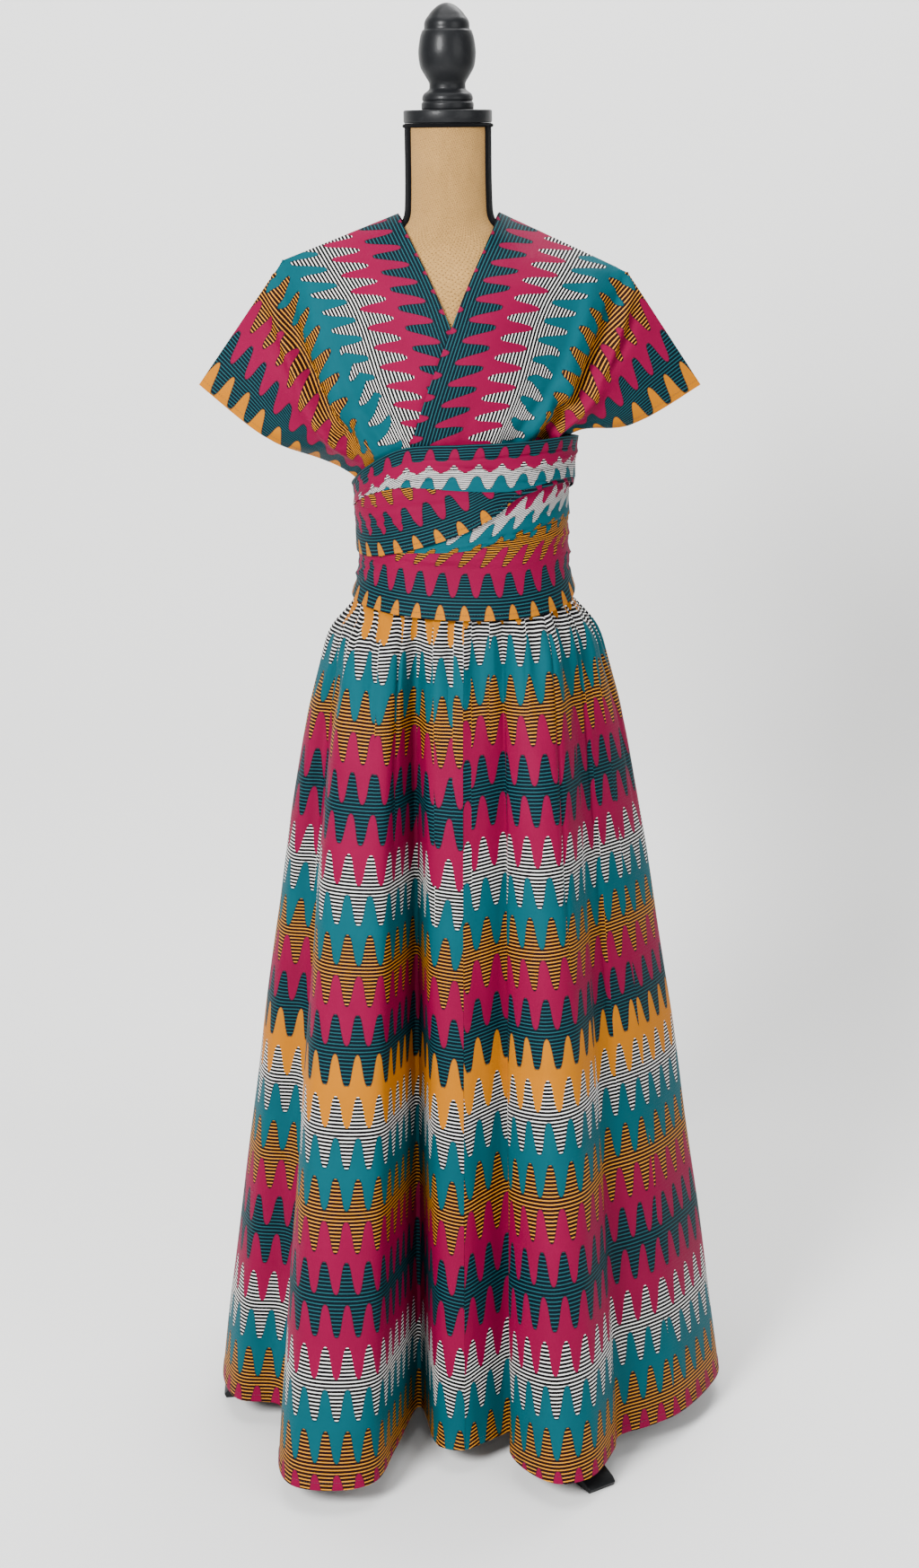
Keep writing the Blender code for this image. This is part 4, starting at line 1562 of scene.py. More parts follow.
@dataclass
class Strap:
    """One wide strap: up from the waist, over the shoulder as a wing, down the back."""

    side: Side
    lift: float
    wardrobe: Wardrobe
    needle: Needle
    form: FormShape
    shoulder_corner: Place
    wing_tip: Place
    neck_point: Place = (0.0565, 1.4530)
    end_z: float = 1.0853
    ease: float = 0.0031
    wall: float = 0.0020
    crowding: float = 1.3
    hull_steps: int = 24
    across_steps: int = 84
    along_steps: int = 60
    crease_low_z: float = 1.185
    crease_start: float = 0.50
    crease_fade: float = 0.20
    crease_waves: float = 3.5
    crease_depth: float = 0.0035
    crease_rise: float = 0.050
    trough_laid: float = 0.0012
    trough_free: float = 0.0220
    edge_turn: float = 0.010
    unsewn_rows: int = 6
    fold_width: float = 0.0012
    first_band: float = 5.30
    bands_across: float = 7.10
    teeth_fall: float = 0.155
    corner_across: float = 0.45

    def __post_init__(self) -> None:
        """Reads the strap's and the wing's tables."""
        self.lines = Table(STRAP_ROWS[self.side], "across")
        self.wing = Table(WING_OUTLINE, "z")

    def shoulder_point(self, across: float) -> Vector:
        """A place on the fold over the shoulder.

        Args:
            across: From 0 at the neck to 1 at the wing's tip.

        Returns:
            Its x, towards the strap's own side, and its height.
        """
        line = (self.neck_point, self.shoulder_corner, self.wing_tip)
        neck, corner, tip = (Vector(point) for point in line)
        inner, outer = (corner - neck).length, (tip - corner).length
        reach = across * (inner + outer)
        if reach <= inner:
            return neck.lerp(corner, reach / inner)
        return corner.lerp(tip, (reach - inner) / outer)

    def depth(self, x: float, z: float, facing: Facing) -> float:
        """How far the strap stands before or behind the form's axis.

        Args:
            x: The distance from the form's middle plane.
            z: The height.
            facing: The form's half that the strap lies on there.

        Returns:
            The depth on the form, or on the straight line from it to the wing's edge.
        """
        ease = self.ease + self.wall + self.lift
        half_width = self.form.half_width(z) + ease
        depth = self.form.depth(z, facing) + ease
        reach = self.wing.at(z, self.side.word)
        x = abs(x)
        found = depth * math.sqrt(max(1 - (x / half_width) ** 2, 0.0))
        for step in range(self.hull_steps):
            angle = math.pi / 2 * step / self.hull_steps
            touch_x, touch_depth = half_width * math.sin(angle), depth * math.cos(angle)
            if touch_x <= x < reach:
                found = max(found, touch_depth * (reach - x) / (reach - touch_x))
        return found

    def line(self, across: float) -> list[Vector]:
        """One line of the strap from the back waist over the shoulder to the front waist.

        Args:
            across: From 0 at the inner edge to 1 at the outer one.

        Returns:
            The points in order.
        """
        row = {name: self.lines.at(across, name) for name in StrapRow._fields[1:]}
        shoulder = self.shoulder_point(across)
        stations = [
            Vector((row["band_x"], self.end_z)),
            Vector((row["waist_x"], row["waist_z"])),
            Vector((row["chest_x"], row["chest_z"])),
            shoulder,
        ]
        front, back = [], []
        shares = [1 - (1 - step / self.along_steps) ** self.crowding for step in range(self.along_steps)]
        for share in (*shares, 1 - self.fold_width):
            x, z = spline_point(stations, share)
            front.append((x, -self.depth(x, z, Facing.FRONT), z))
            back.append((x, self.depth(x, z, Facing.BACK), z))
        line = [*back, (shoulder.x, 0.0, shoulder.y), *reversed(front)]
        return [Vector((self.form.centre_x + self.side.value * x, y, z)) for x, y, z in line]

    def across_at(self, column: int) -> float:
        """How far across the strap a column of the grid lies, from the inner edge."""
        share = column / self.across_steps
        return share if self.side is Side.LEFT else 1 - share

    def crease_lift(self, across: float, along: float, z: float) -> float:
        """How far the creases lift the cloth.

        Args:
            across: From 0 at the inner edge to 1 at the outer one.
            along: From 0 at the back waist to 1 at the front waist.
            z: The height.

        Returns:
            The lift in metres.
        """
        from_waist = min(2 * along, 2 - 2 * along)
        swell = math.sin(math.pi * from_waist) ** 2
        free = min(max((across - self.crease_start) / self.crease_fade, 0.0), 1.0)
        free *= min(max((z - self.crease_low_z) / self.crease_rise, 0.0), 1.0)
        wave = (1 - math.cos(math.tau * self.crease_waves * across)) / 2 * math.sin(math.pi * across)
        by_hand = sum(crease.at((across, from_waist)) for crease in STRAP_CREASES)
        above = smooth_step(self.crease_low_z - 0.01, self.crease_low_z + 0.03, z)
        by_hand = max(by_hand, -self.trough_laid - self.trough_free * free)
        return self.crease_depth * swell * wave * free + by_hand * above

    def build(self) -> None:
        """Makes the strap and its edge stitches."""
        acrosses = [self.across_at(column) for column in range(self.across_steps + 1)]
        lines = [self.line(across) for across in acrosses]
        grid = ClothGrid([list(line) for line in zip(*lines)], [])
        steps = len(grid.points) - 1
        grid.lift(lambda i, j: self.crease_lift(acrosses[j], i / steps, grid.points[i][j].z))
        grid.places = self.flat_places(grid.points, acrosses)
        name = f"printed_strap_{self.side.word}"
        strap = thin_cloth(name, grid, self.wardrobe.get(PRINT))
        settle(strap, Slot.PRINT, f"strap_{self.side.word}")
        self.sew_edge(grid)
        log.info("%s: %d faces", name, len(strap.data.polygons))

    def sew_edge(self, grid: ClothGrid) -> None:
        """Sews the turned outer edge.

        Args:
            grid: The strap's points.
        """
        inset = round(self.across_steps * self.edge_turn / STRAP_WIDTH)
        column = self.across_steps - inset if self.side is Side.LEFT else inset
        rows = range(self.unsewn_rows, len(grid.points) - self.unsewn_rows)
        seam = grid.seam([(i, column) for i in rows], self.needle.proud)
        settle(self.needle.sew(f"strap_{self.side.word}_stitches", [seam]), Slot.PRINT)

    def flat_places(self, points: list[list[Vector]], acrosses: Sequence[float]) -> list[list[Place]]:
        """Where each point of the strap lies in the flat print.

        Args:
            points: The strap's points.
            acrosses: How far across the strap each column lies.

        Returns:
            A place in metres for each point.
        """
        lengths = [row_lengths([line[j] for line in points]) for j in range(len(acrosses))]
        middle = len(points) // 2
        places = []
        for i in range(len(points)):
            from_shoulder = abs(i - middle) / middle
            gathered = smooth_step(0.25, 0.80, from_shoulder)
            level = 1.0 if i >= middle else 1 - smooth_step(0.0, 0.4, from_shoulder)
            line = []
            for j, across in enumerate(acrosses):
                spread = self.first_band + self.bands_across * across
                bands = spread + (self.lines.at(across, "waist_bands") - spread) * gathered
                fall = self.teeth_fall * min(across, self.corner_across) * level
                line.append((lengths[j][i] - lengths[j][middle] + fall, bands * BAND_PITCH))
            places.append(line)
        return places


class WrapRow(NamedTuple):
    """A wound stretch at an angle from the centre front.

    It has the heights of its edges, how far down its tuck lies and the print's band
    at its lower edge.
    """

    angle: float
    top_z: float
    bottom_z: float
    tuck: float
    edge_band: float


class GirthRow(NamedTuple):
    """How far out a wound stretch stands at a height."""

    z: float
    half_width: float
    half_depth: float


@dataclass(frozen=True)
class WrapFold:
    """One fold of a wound stretch, between its top and the next tuck's edge.

    Its print slants by a share of the height. The bands come from pairs of a distance
    from the fold's border and a band, or else run up from the stretch's lower edge.
    """

    steps: int
    slant: float
    levels: tuple[Place, ...] = ()
    from_top: bool = True
    squeeze: float = 0.0
    upright: float = 0.0


@dataclass
class WoundStretch:
    """One stretch of a strap wound round the waist, folded into tucks."""

    name: str
    rows: tuple[WrapRow, ...]
    girths: tuple[GirthRow, ...]
    folds: tuple[WrapFold, ...]
    creases: tuple[Crease, ...]
    wardrobe: Wardrobe
    needle: Needle
    waist_x: float = 0.005
    columns: int = 260
    tuck_step: float = 0.0016
    tuck_reach: float = 0.35
    tuck_under: float = 0.0002
    short_fold: float = 0.012
    swell: float = 0.0004
    radius: float = 0.122
    stitch_in: float = 0.006

    def __post_init__(self) -> None:
        """Reads the edges and the girth."""
        self.edges = Table(self.rows, "angle", turn=360.0)
        self.girth = Table(self.girths, "z")

    def borders(self, degrees: float) -> list[float]:
        """The heights of the top edge, the tuck and the bottom edge at an angle."""
        top, bottom = self.edges.at(degrees, "top_z"), self.edges.at(degrees, "bottom_z")
        return [top, top + (bottom - top) * self.edges.at(degrees, "tuck"), bottom]

    def skin(self, degrees: float, z: float, lift: float) -> Vector:
        """A point of the wound cloth.

        Args:
            degrees: The angle from the centre front.
            z: The height.
            lift: How far outside its mean girth.

        Returns:
            The point.
        """
        angle = math.radians(degrees)
        half_width = self.girth.at(z, "half_width") + lift
        half_depth = self.girth.at(z, "half_depth") + lift
        x = self.waist_x + half_width * math.sin(angle)
        return Vector((x, -half_depth * math.cos(angle), z))

    def build(self) -> None:
        """Makes the stretch and its edge stitches."""
        points: list[list[Vector]] = []
        places: list[list[Place]] = []
        angles = [360.0 * step / self.columns - 180.0 for step in range(self.columns + 1)]
        borders = [self.borders(degrees) for degrees in angles]
        last_fold = len(self.folds) - 1
        for number, fold in enumerate(self.folds):
            for step in range(fold.steps + 1):
                share = step / fold.steps
                line, flat = [], []
                for degrees, heights in zip(angles, borders):
                    top, bottom = heights[number], heights[number + 1]
                    z = top + (bottom - top) * share
                    lift = self.fold_lift(number, share, bottom - top)
                    lift += sum(crease.at((degrees, z)) for crease in self.creases)
                    line.append(self.skin(degrees, z, lift))
                    flat.append(self.flat_place(fold, degrees, z, top, bottom, heights[-1]))
                points.append(line[:-1])
                places.append(flat)
            if number < last_fold:
                under = [
                    self.skin(degrees, heights[number + 1] - self.tuck_under, -self.tuck_under)
                    for degrees, heights in zip(angles, borders)
                ]
                points.append(under[:-1])
                places.append(list(places[-1]))
        grid = ClothGrid(points, places, ring=True)
        cloth = thin_cloth(f"printed_{self.name}", grid, self.wardrobe.get(PRINT))
        settle(cloth, Slot.PRINT, self.name)
        seam = []
        for degrees, heights in zip(angles, borders):
            z = heights[-1] + self.stitch_in
            seam.append(self.skin(degrees, z, self.needle.proud + self.swell))
        settle(self.needle.sew(f"{self.name}_stitches", [seam]), Slot.PRINT)
        log.info("%s: %d faces", cloth.name, len(cloth.data.polygons))

    def fold_lift(self, number: int, share: float, fall: float) -> float:
        """How far a fold stands out: most at its lower edge, where it lies on the next.

        Args:
            number: Which fold, from the top.
            share: How far down the fold, from 0 to 1.
            fall: The fold's height, below zero because it falls.

        Returns:
            The lift in metres.
        """
        if number == len(self.folds) - 1:
            return self.swell * math.sin(math.pi * share)
        edge = max((share - 1) / self.tuck_reach + 1, 0.0)
        return self.tuck_step * edge * min(1.0, -fall / self.short_fold)

    def flat_place(
        self, fold: WrapFold, degrees: float, z: float, top: float, bottom: float, edge: float
    ) -> Place:
        """Where a point lies in the flat print.

        Args:
            fold: The fold that it is on.
            degrees: Its angle from the centre front.
            z: Its height.
            top: The fold's top there.
            bottom: The fold's bottom there.
            edge: The stretch's bottom edge there.

        Returns:
            A place in metres.
        """
        arc = math.radians(degrees) * self.radius
        if not fold.levels:
            up = z - edge
            bands = self.edges.at(degrees, "edge_band")
            bands -= up / BAND_PITCH * (1 + fold.squeeze * up)
            return arc - fold.slant * max(up - fold.upright, 0.0), bands * BAND_PITCH
        from_border = top - z if fold.from_top else z - bottom
        bands = float(np.interp(from_border, *zip(*fold.levels)))
        return arc - fold.slant * (z - bottom), bands * BAND_PITCH


UPPER_ROWS = rows_of(
    WrapRow,
    (-90, 1.152, 1.078, 0.34, 11.955),
    (-60, 1.176, 1.076, 0.31, 11.955),
    (-30, 1.203, 1.088, 0.38, 11.955),
    (0, 1.208, 1.109, 0.52, 11.955),
    (16, 1.2085, 1.127, 0.66, 11.9),
    (30, 1.209, 1.147, 0.86, 11.45),
    (60, 1.21, 1.157, 0.9, 11.25),
    (90, 1.204, 1.148, 0.86, 11.3),
    (135, 1.2, 1.122, 0.68, 11.7),
    (180, 1.204, 1.104, 0.58, 11.955),
    (225, 1.172, 1.09, 0.44, 11.955),
)
LOWER_ROWS = rows_of(
    WrapRow,
    (-90, 1.095, 1.026, 0.18, 11.955),
    (-60, 1.094, 1.02, 0.16, 11.955),
    (-30, 1.106, 1.015, 0.23, 11.955),
    (0, 1.126, 1.012, 0.33, 11.955),
    (30, 1.155, 1.012, 0.36, 11.955),
    (60, 1.164, 1.018, 0.34, 11.955),
    (90, 1.156, 1.032, 0.33, 11.955),
    (135, 1.137, 1.03, 0.3, 11.955),
    (180, 1.121, 1.02, 0.26, 11.955),
    (225, 1.107, 1.024, 0.2, 11.955),
)
UPPER_GIRTHS = rows_of(
    GirthRow,
    (1.215, 0.1347, 0.1077),
    (1.195, 0.1312, 0.1065),
    (1.16, 0.1277, 0.1042),
    (1.12, 0.125, 0.1026),
    (1.07, 0.1242, 0.102),
)
LOWER_GIRTHS = rows_of(
    GirthRow,
    (1.17, 0.1217, 0.0988),
    (1.12, 0.1212, 0.0984),
    (1.076, 0.1212, 0.0987),
    (1.045, 0.1246, 0.1015),
    (1.025, 0.131, 0.108),
    (1.01, 0.1362, 0.113),
)
UPPER_CREASES = rows_of(
    Crease,
    ((-25, 1.19), (84, 1.197), -0.002, 0.0013, 0.3),
    ((-15, 1.185), (76, 1.17), -0.0022, 0.0014, 0.3),
    ((-50, 1.162), (4, 1.172), -0.0022, 0.0014, 0.3),
    ((-5, 1.178), (60, 1.18), 0.0019, 0.0022, 0.3),
    ((12, 1.166), (86, 1.158), -0.002, 0.0014, 0.0),
    ((-78, 1.142), (-22, 1.152), 0.0022, 0.0026, 0.4),
    ((-70, 1.128), (6, 1.146), -0.0017, 0.0022, 0.0),
    ((-95, 1.116), (-20, 1.132), 0.0017, 0.0036, 0.3),
    ((-84, 1.098), (-30, 1.114), -0.0015, 0.0026, 0.0),
    ((100, 1.165), (200, 1.15), 0.002, 0.004, 0.3),
    ((120, 1.185), (215, 1.172), 0.0017, 0.0034, 0.2),
    ((150, 1.135), (250, 1.122), -0.0015, 0.004, 0.0),
    ((40, 1.183), (96, 1.188), 0.0026, 0.0024, 0.3),
    ((46, 1.176), (92, 1.176), -0.0016, 0.0018, 0.0),
    ((-92, 1.15), (-40, 1.176), 0.0024, 0.0026, 0.3),
    ((-92, 1.138), (-46, 1.158), -0.0016, 0.002, 0.0),
    ((-88, 1.124), (-38, 1.143), 0.0024, 0.0024, 0.3),
    ((-92, 1.104), (-30, 1.126), -0.0014, 0.0022, 0.0),
    ((-60, 1.11), (-8, 1.13), 0.0022, 0.0026, 0.3),
)
LOWER_CREASES = rows_of(
    Crease,
    ((-60, 1.082), (40, 1.07), 0.0017, 0.0034, 0.3),
    ((-95, 1.056), (-40, 1.066), -0.002, 0.0026, 0.0),
    ((-20, 1.09), (62, 1.108), 0.0024, 0.0022, 0.4),
    ((0, 1.098), (82, 1.12), -0.0022, 0.0014, 0.0),
    ((20, 1.122), (84, 1.128), -0.002, 0.0014, 0.0),
    ((30, 1.134), (90, 1.14), 0.0019, 0.0024, 0.3),
    ((30, 1.088), (96, 1.082), -0.0019, 0.0024, 0.0),
    ((48, 1.06), (116, 1.052), -0.0017, 0.003, 0.2),
    ((-96, 1.038), (-62, 1.05), -0.002, 0.0024, 0.0),
    ((110, 1.1), (210, 1.088), 0.002, 0.004, 0.3),
    ((140, 1.07), (240, 1.064), -0.0015, 0.0044, 0.0),
    ((46, 1.146), (92, 1.152), 0.0026, 0.0024, 0.3),
    ((50, 1.112), (98, 1.104), -0.0016, 0.002, 0.0),
    ((40, 1.1), (96, 1.092), 0.0026, 0.0026, 0.3),
    ((56, 1.076), (104, 1.068), 0.0024, 0.0026, 0.3),
    ((-98, 1.074), (-52, 1.08), 0.0024, 0.0026, 0.3),
    ((-94, 1.066), (-30, 1.076), -0.0016, 0.002, 0.0),
    ((-30, 1.074), (30, 1.084), 0.002, 0.0022, 0.2),
    ((-98, 1.044), (-66, 1.058), 0.0022, 0.0022, 0.2),
)
UPPER_PRINT = (
    (-0.001, 5.47),
    (0.0165, 6.0),
    (0.0175, 6.44),
    (0.028, 6.8),
    (0.029, 7.28),
    (0.054, 8.6),
)
LOWER_PRINT = ((-0.0010, 8.95), (0.0520, 5.96))
UPPER_FOLDS = (WrapFold(44, 0.10, levels=UPPER_PRINT), WrapFold(24, -0.36, squeeze=6.0))
LOWER_FOLDS = (
    WrapFold(20, 0.90, levels=LOWER_PRINT, from_top=False),
    WrapFold(34, 0.80, squeeze=4.8, upright=0.050),
)


@dataclass
class Waistband:
    """The plain band inside, which the skirt and both straps are sewn to."""

    wardrobe: Wardrobe
    shape: FormShape
    low_z: float = 1.0452
    high_z: float = 1.0848
    ease: float = 0.0017
    columns: int = 160
    rows: int = 8

    def build(self) -> None:
        """Makes the band."""
        points, places = [], []
        for i in range(self.rows + 1):
            z = self.high_z + (self.low_z - self.high_z) * i / self.rows
            ring = [
                self.shape.point(z, math.tau * j / self.columns, self.ease)
                for j in range(self.columns)
            ]
            along = row_lengths([*ring, ring[0]])
            points.append(ring)
            places.append([(length, z) for length in along])
        grid = ClothGrid(points, places, ring=True)
        band = thin_cloth("band_inside", grid, self.wardrobe.get(BAND_COTTON))
        settle(band, Slot.PLAIN, "waistband")


def capped_rings(
    rings: Sequence[Sequence[Vector]],
) -> tuple[list[tuple[float, ...]], list[tuple[int, ...]]]:
    """The points and faces of a closed solid through level rings.

    Args:
        rings: Rings of equally many points round a vertical axis, from the bottom up.

    Returns:
        The points, first the foot's middle and last the top's, and the faces, one
        upright strip after another.
    """
    count = len(rings[0])
    middles = [sum(ring, Vector((0.0, 0.0, 0.0))) / count for ring in (rings[0], rings[-1])]
    points = [middles[0], *(point for ring in rings for point in ring), middles[1]]
    top = 1 + (len(rings) - 1) * count
    faces: list[tuple[int, ...]] = []
    for step in range(count):
        after = (step + 1) % count
        faces.append((0, 1 + after, 1 + step))
        for low in range(1, top, count):
            high = low + count
            faces.append((low + step, low + after, high + after, high + step))
        faces.append((len(points) - 1, top + step, top + after))
    return [tuple(point) for point in points], faces


@dataclass
class DressForm:
    """The padded form: linen in front, black behind, with piping up its neck."""

    wardrobe: Wardrobe
    shape: FormShape
    around: int = 120
    rows: int = 40
    shoulder_z: float = 1.370
    girth: float = 0.62
    cap_map: float = 0.05
    piping_radius: float = 0.0023
    piping_low_z: float = 1.430

    def build(self) -> None:
        """Makes the body and the piping."""
        around = self.around
        rows = self.heights()
        rings = [
            [self.shape.point(z, math.tau * step / around) for step in range(around)] for z in rows
        ]
        points, faces = capped_rings(rings)
        mesh = bpy.data.meshes.new("form_body")
        mesh.from_pydata(points, [], faces)
        flat = mesh.uv_layers.new(name=FLAT_MAP)
        for number, face in enumerate(mesh.polygons):
            step = number // (len(rows) + 1)
            capping = len(face.vertices) == 3
            for loop, corner in zip(face.loop_indices, face.vertices):
                middle = corner in (0, len(points) - 1)
                turn = step if middle else step + ((corner - 1) % around != step)
                up = self.cap_map * (not middle) if capping else points[corner][2]
                flat.data[loop].uv = (turn / around * self.girth, up)
        mesh.materials.append(self.wardrobe.get(LINEN))
        mesh.materials.append(self.wardrobe.get(JERSEY))
        edge = math.cos(math.radians(self.shape.neck_angle))
        for face in mesh.polygons:
            centre = face.center
            depth = self.shape.depth(centre.z, Facing.FRONT)
            under_cap = centre.z > self.shape.neck_top - self.piping_radius * 1.3
            face.material_index = int(-centre.y < depth * edge or under_cap)
        mesh.shade_smooth()
        mesh.set_sharp_from_angle(angle=math.radians(50))
        body = link_mesh("form_body", mesh, self.wardrobe.get(LINEN))
        settle(body, Slot.LINEN, "form_torso")
        settle(self.make_piping(), Slot.LINEN)
        log.info("form: %d faces", len(mesh.polygons))

    def heights(self) -> list[float]:
        """The rows of the body, closest together at the neck's foot."""
        low, middle, top = self.shape.rows[0].z, self.shoulder_z, self.shape.neck_top
        shares = [step / self.rows for step in range(self.rows + 1)]
        body = [low + (middle - low) * share for share in shares[:-1]]
        return [*body, *(middle + (top - middle) * share for share in shares)]

    def make_piping(self) -> bpy.types.Object:
        """Makes the two cords that run up the neck's sides and round its top.

        Returns:
            The piping.
        """
        mesh = bmesh.new()
        angle = math.radians(self.shape.neck_angle)
        top = self.shape.neck_top - self.piping_radius - 0.0004
        steps, low = 24, self.piping_low_z
        levels = [low + (top - low) * step / steps for step in range(steps + 1)]
        for side in Side:
            path = [self.shape.point(z, side.value * angle, 0.0006) for z in levels]
            sweep_cord(mesh, path, self.piping_radius, closed=False)
        ring = [self.shape.point(top, math.tau * step / 64, 0.0004) for step in range(64)]
        sweep_cord(mesh, ring, self.piping_radius * 0.9, closed=True)
        made = bpy.data.meshes.new("form_piping")
        mesh.to_mesh(made)
        mesh.free()
        made.shade_smooth()
        return link_mesh("form_piping", made, self.wardrobe.get(CORDING))


def sweep_cord(mesh: bmesh.types.BMesh, path: Sequence[Vector], radius: float, closed: bool) -> None:
    """Adds a round cord along a path.

    Args:
        mesh: The mesh that it goes into.
        path: The cord's middle line.
        radius: Its radius.
        closed: True where the path is a ring.
    """
    around, map_width, map_step = 8, radius * 0.8, 0.005
    flat = mesh.loops.layers.uv.get(FLAT_MAP) or mesh.loops.layers.uv.new(FLAT_MAP)
    rings = []
    count = len(path)
    for index, centre in enumerate(path):
        before = path[index - 1] if index or closed else path[index]
        after = path[(index + 1) % count] if index + 1 < count or closed else path[index]
        along = (after - before).normalized()
        outward = Vector((centre.x, centre.y, 0.0)).normalized()
        sideways = along.cross(outward).normalized()
        outward = sideways.cross(along).normalized()
        ring = []
        for angle in (math.tau * step / around for step in range(around)):
            offset = outward * radius * math.cos(angle) + sideways * radius * math.sin(angle)
            ring.append(mesh.verts.new(centre + offset))
        rings.append(ring)
    pairs = list(zip(rings, rings[1:]))
    if closed:
        pairs.append((rings[-1], rings[0]))
    for number, (start, end) in enumerate(pairs):
        for step in range(around):
            after = (step + 1) % around
            face = mesh.faces.new((start[step], start[after], end[after], end[step]))
            corners = ((step, 0), (step + 1, 0), (step + 1, 1), (step, 1))
            for loop, (turn, ahead) in zip(face.loops, corners):
                loop[flat].uv = (turn * map_width, (number + ahead) * map_step)
    if not closed:
        mesh.faces.new(list(reversed(rings[0])))
        mesh.faces.new(rings[-1])
    bmesh.ops.recalc_face_normals(mesh, faces=mesh.faces)


class TurnedRow(NamedTuple):
    """A turned solid's radius at a height."""

    height: float
    radius: float


def turn_solid(
    name: str, rows: Sequence[TurnedRow], base: Vector, material: bpy.types.Material, steps: int = 96
) -> bpy.types.Object:
    """A smooth solid turned about a vertical axis.

    Args:
        name: The piece's name.
        rows: Its profile, from the bottom up.
        base: The middle of its foot.
        material: Its finish.
        steps: How many sides the turning has.

    Returns:
        The piece.
    """
    rings = []
    for row in rows:
        angles = [math.tau * step / steps for step in range(steps)]
        around = [(row.radius * math.cos(a), row.radius * math.sin(a), row.height) for a in angles]
        rings.append([base + Vector(point) for point in around])
    points, faces = capped_rings(rings)
    mesh = bpy.data.meshes.new(name)
    mesh.from_pydata(points, [], faces)
    mesh.shade_smooth()
    mesh.set_sharp_from_angle(angle=math.radians(45))
    return link_mesh(name, mesh, material)


def fine_profile(rows: Sequence[TurnedRow], between: int = 5) -> list[TurnedRow]:
    """A turned profile with smooth stretches between its rows.

    Args:
        rows: The profile.
        between: How many steps each stretch gets.

    Returns:
        The finer profile.
    """
    points = [Vector((row.radius, row.height)) for row in rows]
    count = (len(rows) - 1) * between
    fine = [spline_point(points, step / count) for step in range(count + 1)]
    return [TurnedRow(point.y, point.x) for point in fine]


FINIAL_FOOT = rows_of(
    TurnedRow,
    (0.0, 0.028),
    (0.001, 0.0288),
    (0.006, 0.0289),
    (0.0074, 0.0284),
    (0.0086, 0.0274),
    (0.0096, 0.0273),
    (0.0106, 0.0281),
    (0.014, 0.0277),
    (0.0172, 0.026),
    (0.02, 0.0222),
    (0.022, 0.0202),
)
FINIAL_EGG = rows_of(
    TurnedRow,
    (0.0236, 0.02),
    (0.0285, 0.0203),
    (0.035, 0.024),
    (0.044, 0.0292),
    (0.053, 0.0312),
    (0.063, 0.0316),
    (0.076, 0.0297),
    (0.0836, 0.0272),
)
FINIAL_DOME = rows_of(
    TurnedRow,
    (0.0846, 0.0254),
    (0.0862, 0.025),
    (0.0915, 0.0247),
    (0.0955, 0.0231),
    (0.099, 0.0205),
    (0.104, 0.0165),
    (0.109, 0.0108),
    (0.1118, 0.0052),
    (0.1126, 0.0012),
)


@dataclass
class NeckCap:
    """The disc on the neck and the finial that is turned to stand on it."""

    wardrobe: Wardrobe
    centre_x: float = -0.008
    disc_bottom: float = 1.5493
    disc_top: float = 1.5630
    disc_radius: float = 0.0490
    top_z: float = 1.6755

    def build(self) -> None:
        """Makes the disc and the finial."""
        wood = self.wardrobe.get(TURNED_WOOD)
        thick, radius = self.disc_top - self.disc_bottom, self.disc_radius
        disc = rows_of(
            TurnedRow,
            (0.0, radius - 0.0012),
            (0.0006, radius - 0.0004),
            (0.0016, radius),
            (thick - 0.0016, radius),
            (thick - 0.0006, radius - 0.0004),
            (thick, radius - 0.0014),
        )
        base = Vector((self.centre_x, 0.0, self.disc_bottom))
        settle(turn_solid("neck_disc", disc, base, wood), Slot.WOOD, "form_neck_disc")
        foot = self.disc_top + SEAM_GAP
        finial = self.finial_rows(self.top_z - foot)
        base = Vector((self.centre_x, 0.0, foot))
        settle(turn_solid("neck_finial", finial, base, wood), Slot.WOOD, "form_finial")
        log.info("neck cap: %d rows in the finial", len(finial))

    def finial_rows(self, height: float) -> list[TurnedRow]:
        """The finial's profile.

        Args:
            height: Its whole height.

        Returns:
            The rows from its foot to its top.
        """
        rows = [*fine_profile(FINIAL_FOOT, 3), *fine_profile(FINIAL_EGG), *fine_profile(FINIAL_DOME, 4)]
        scale = height / FINIAL_DOME[-1].height
        return [TurnedRow(row.height * scale, row.radius) for row in rows]


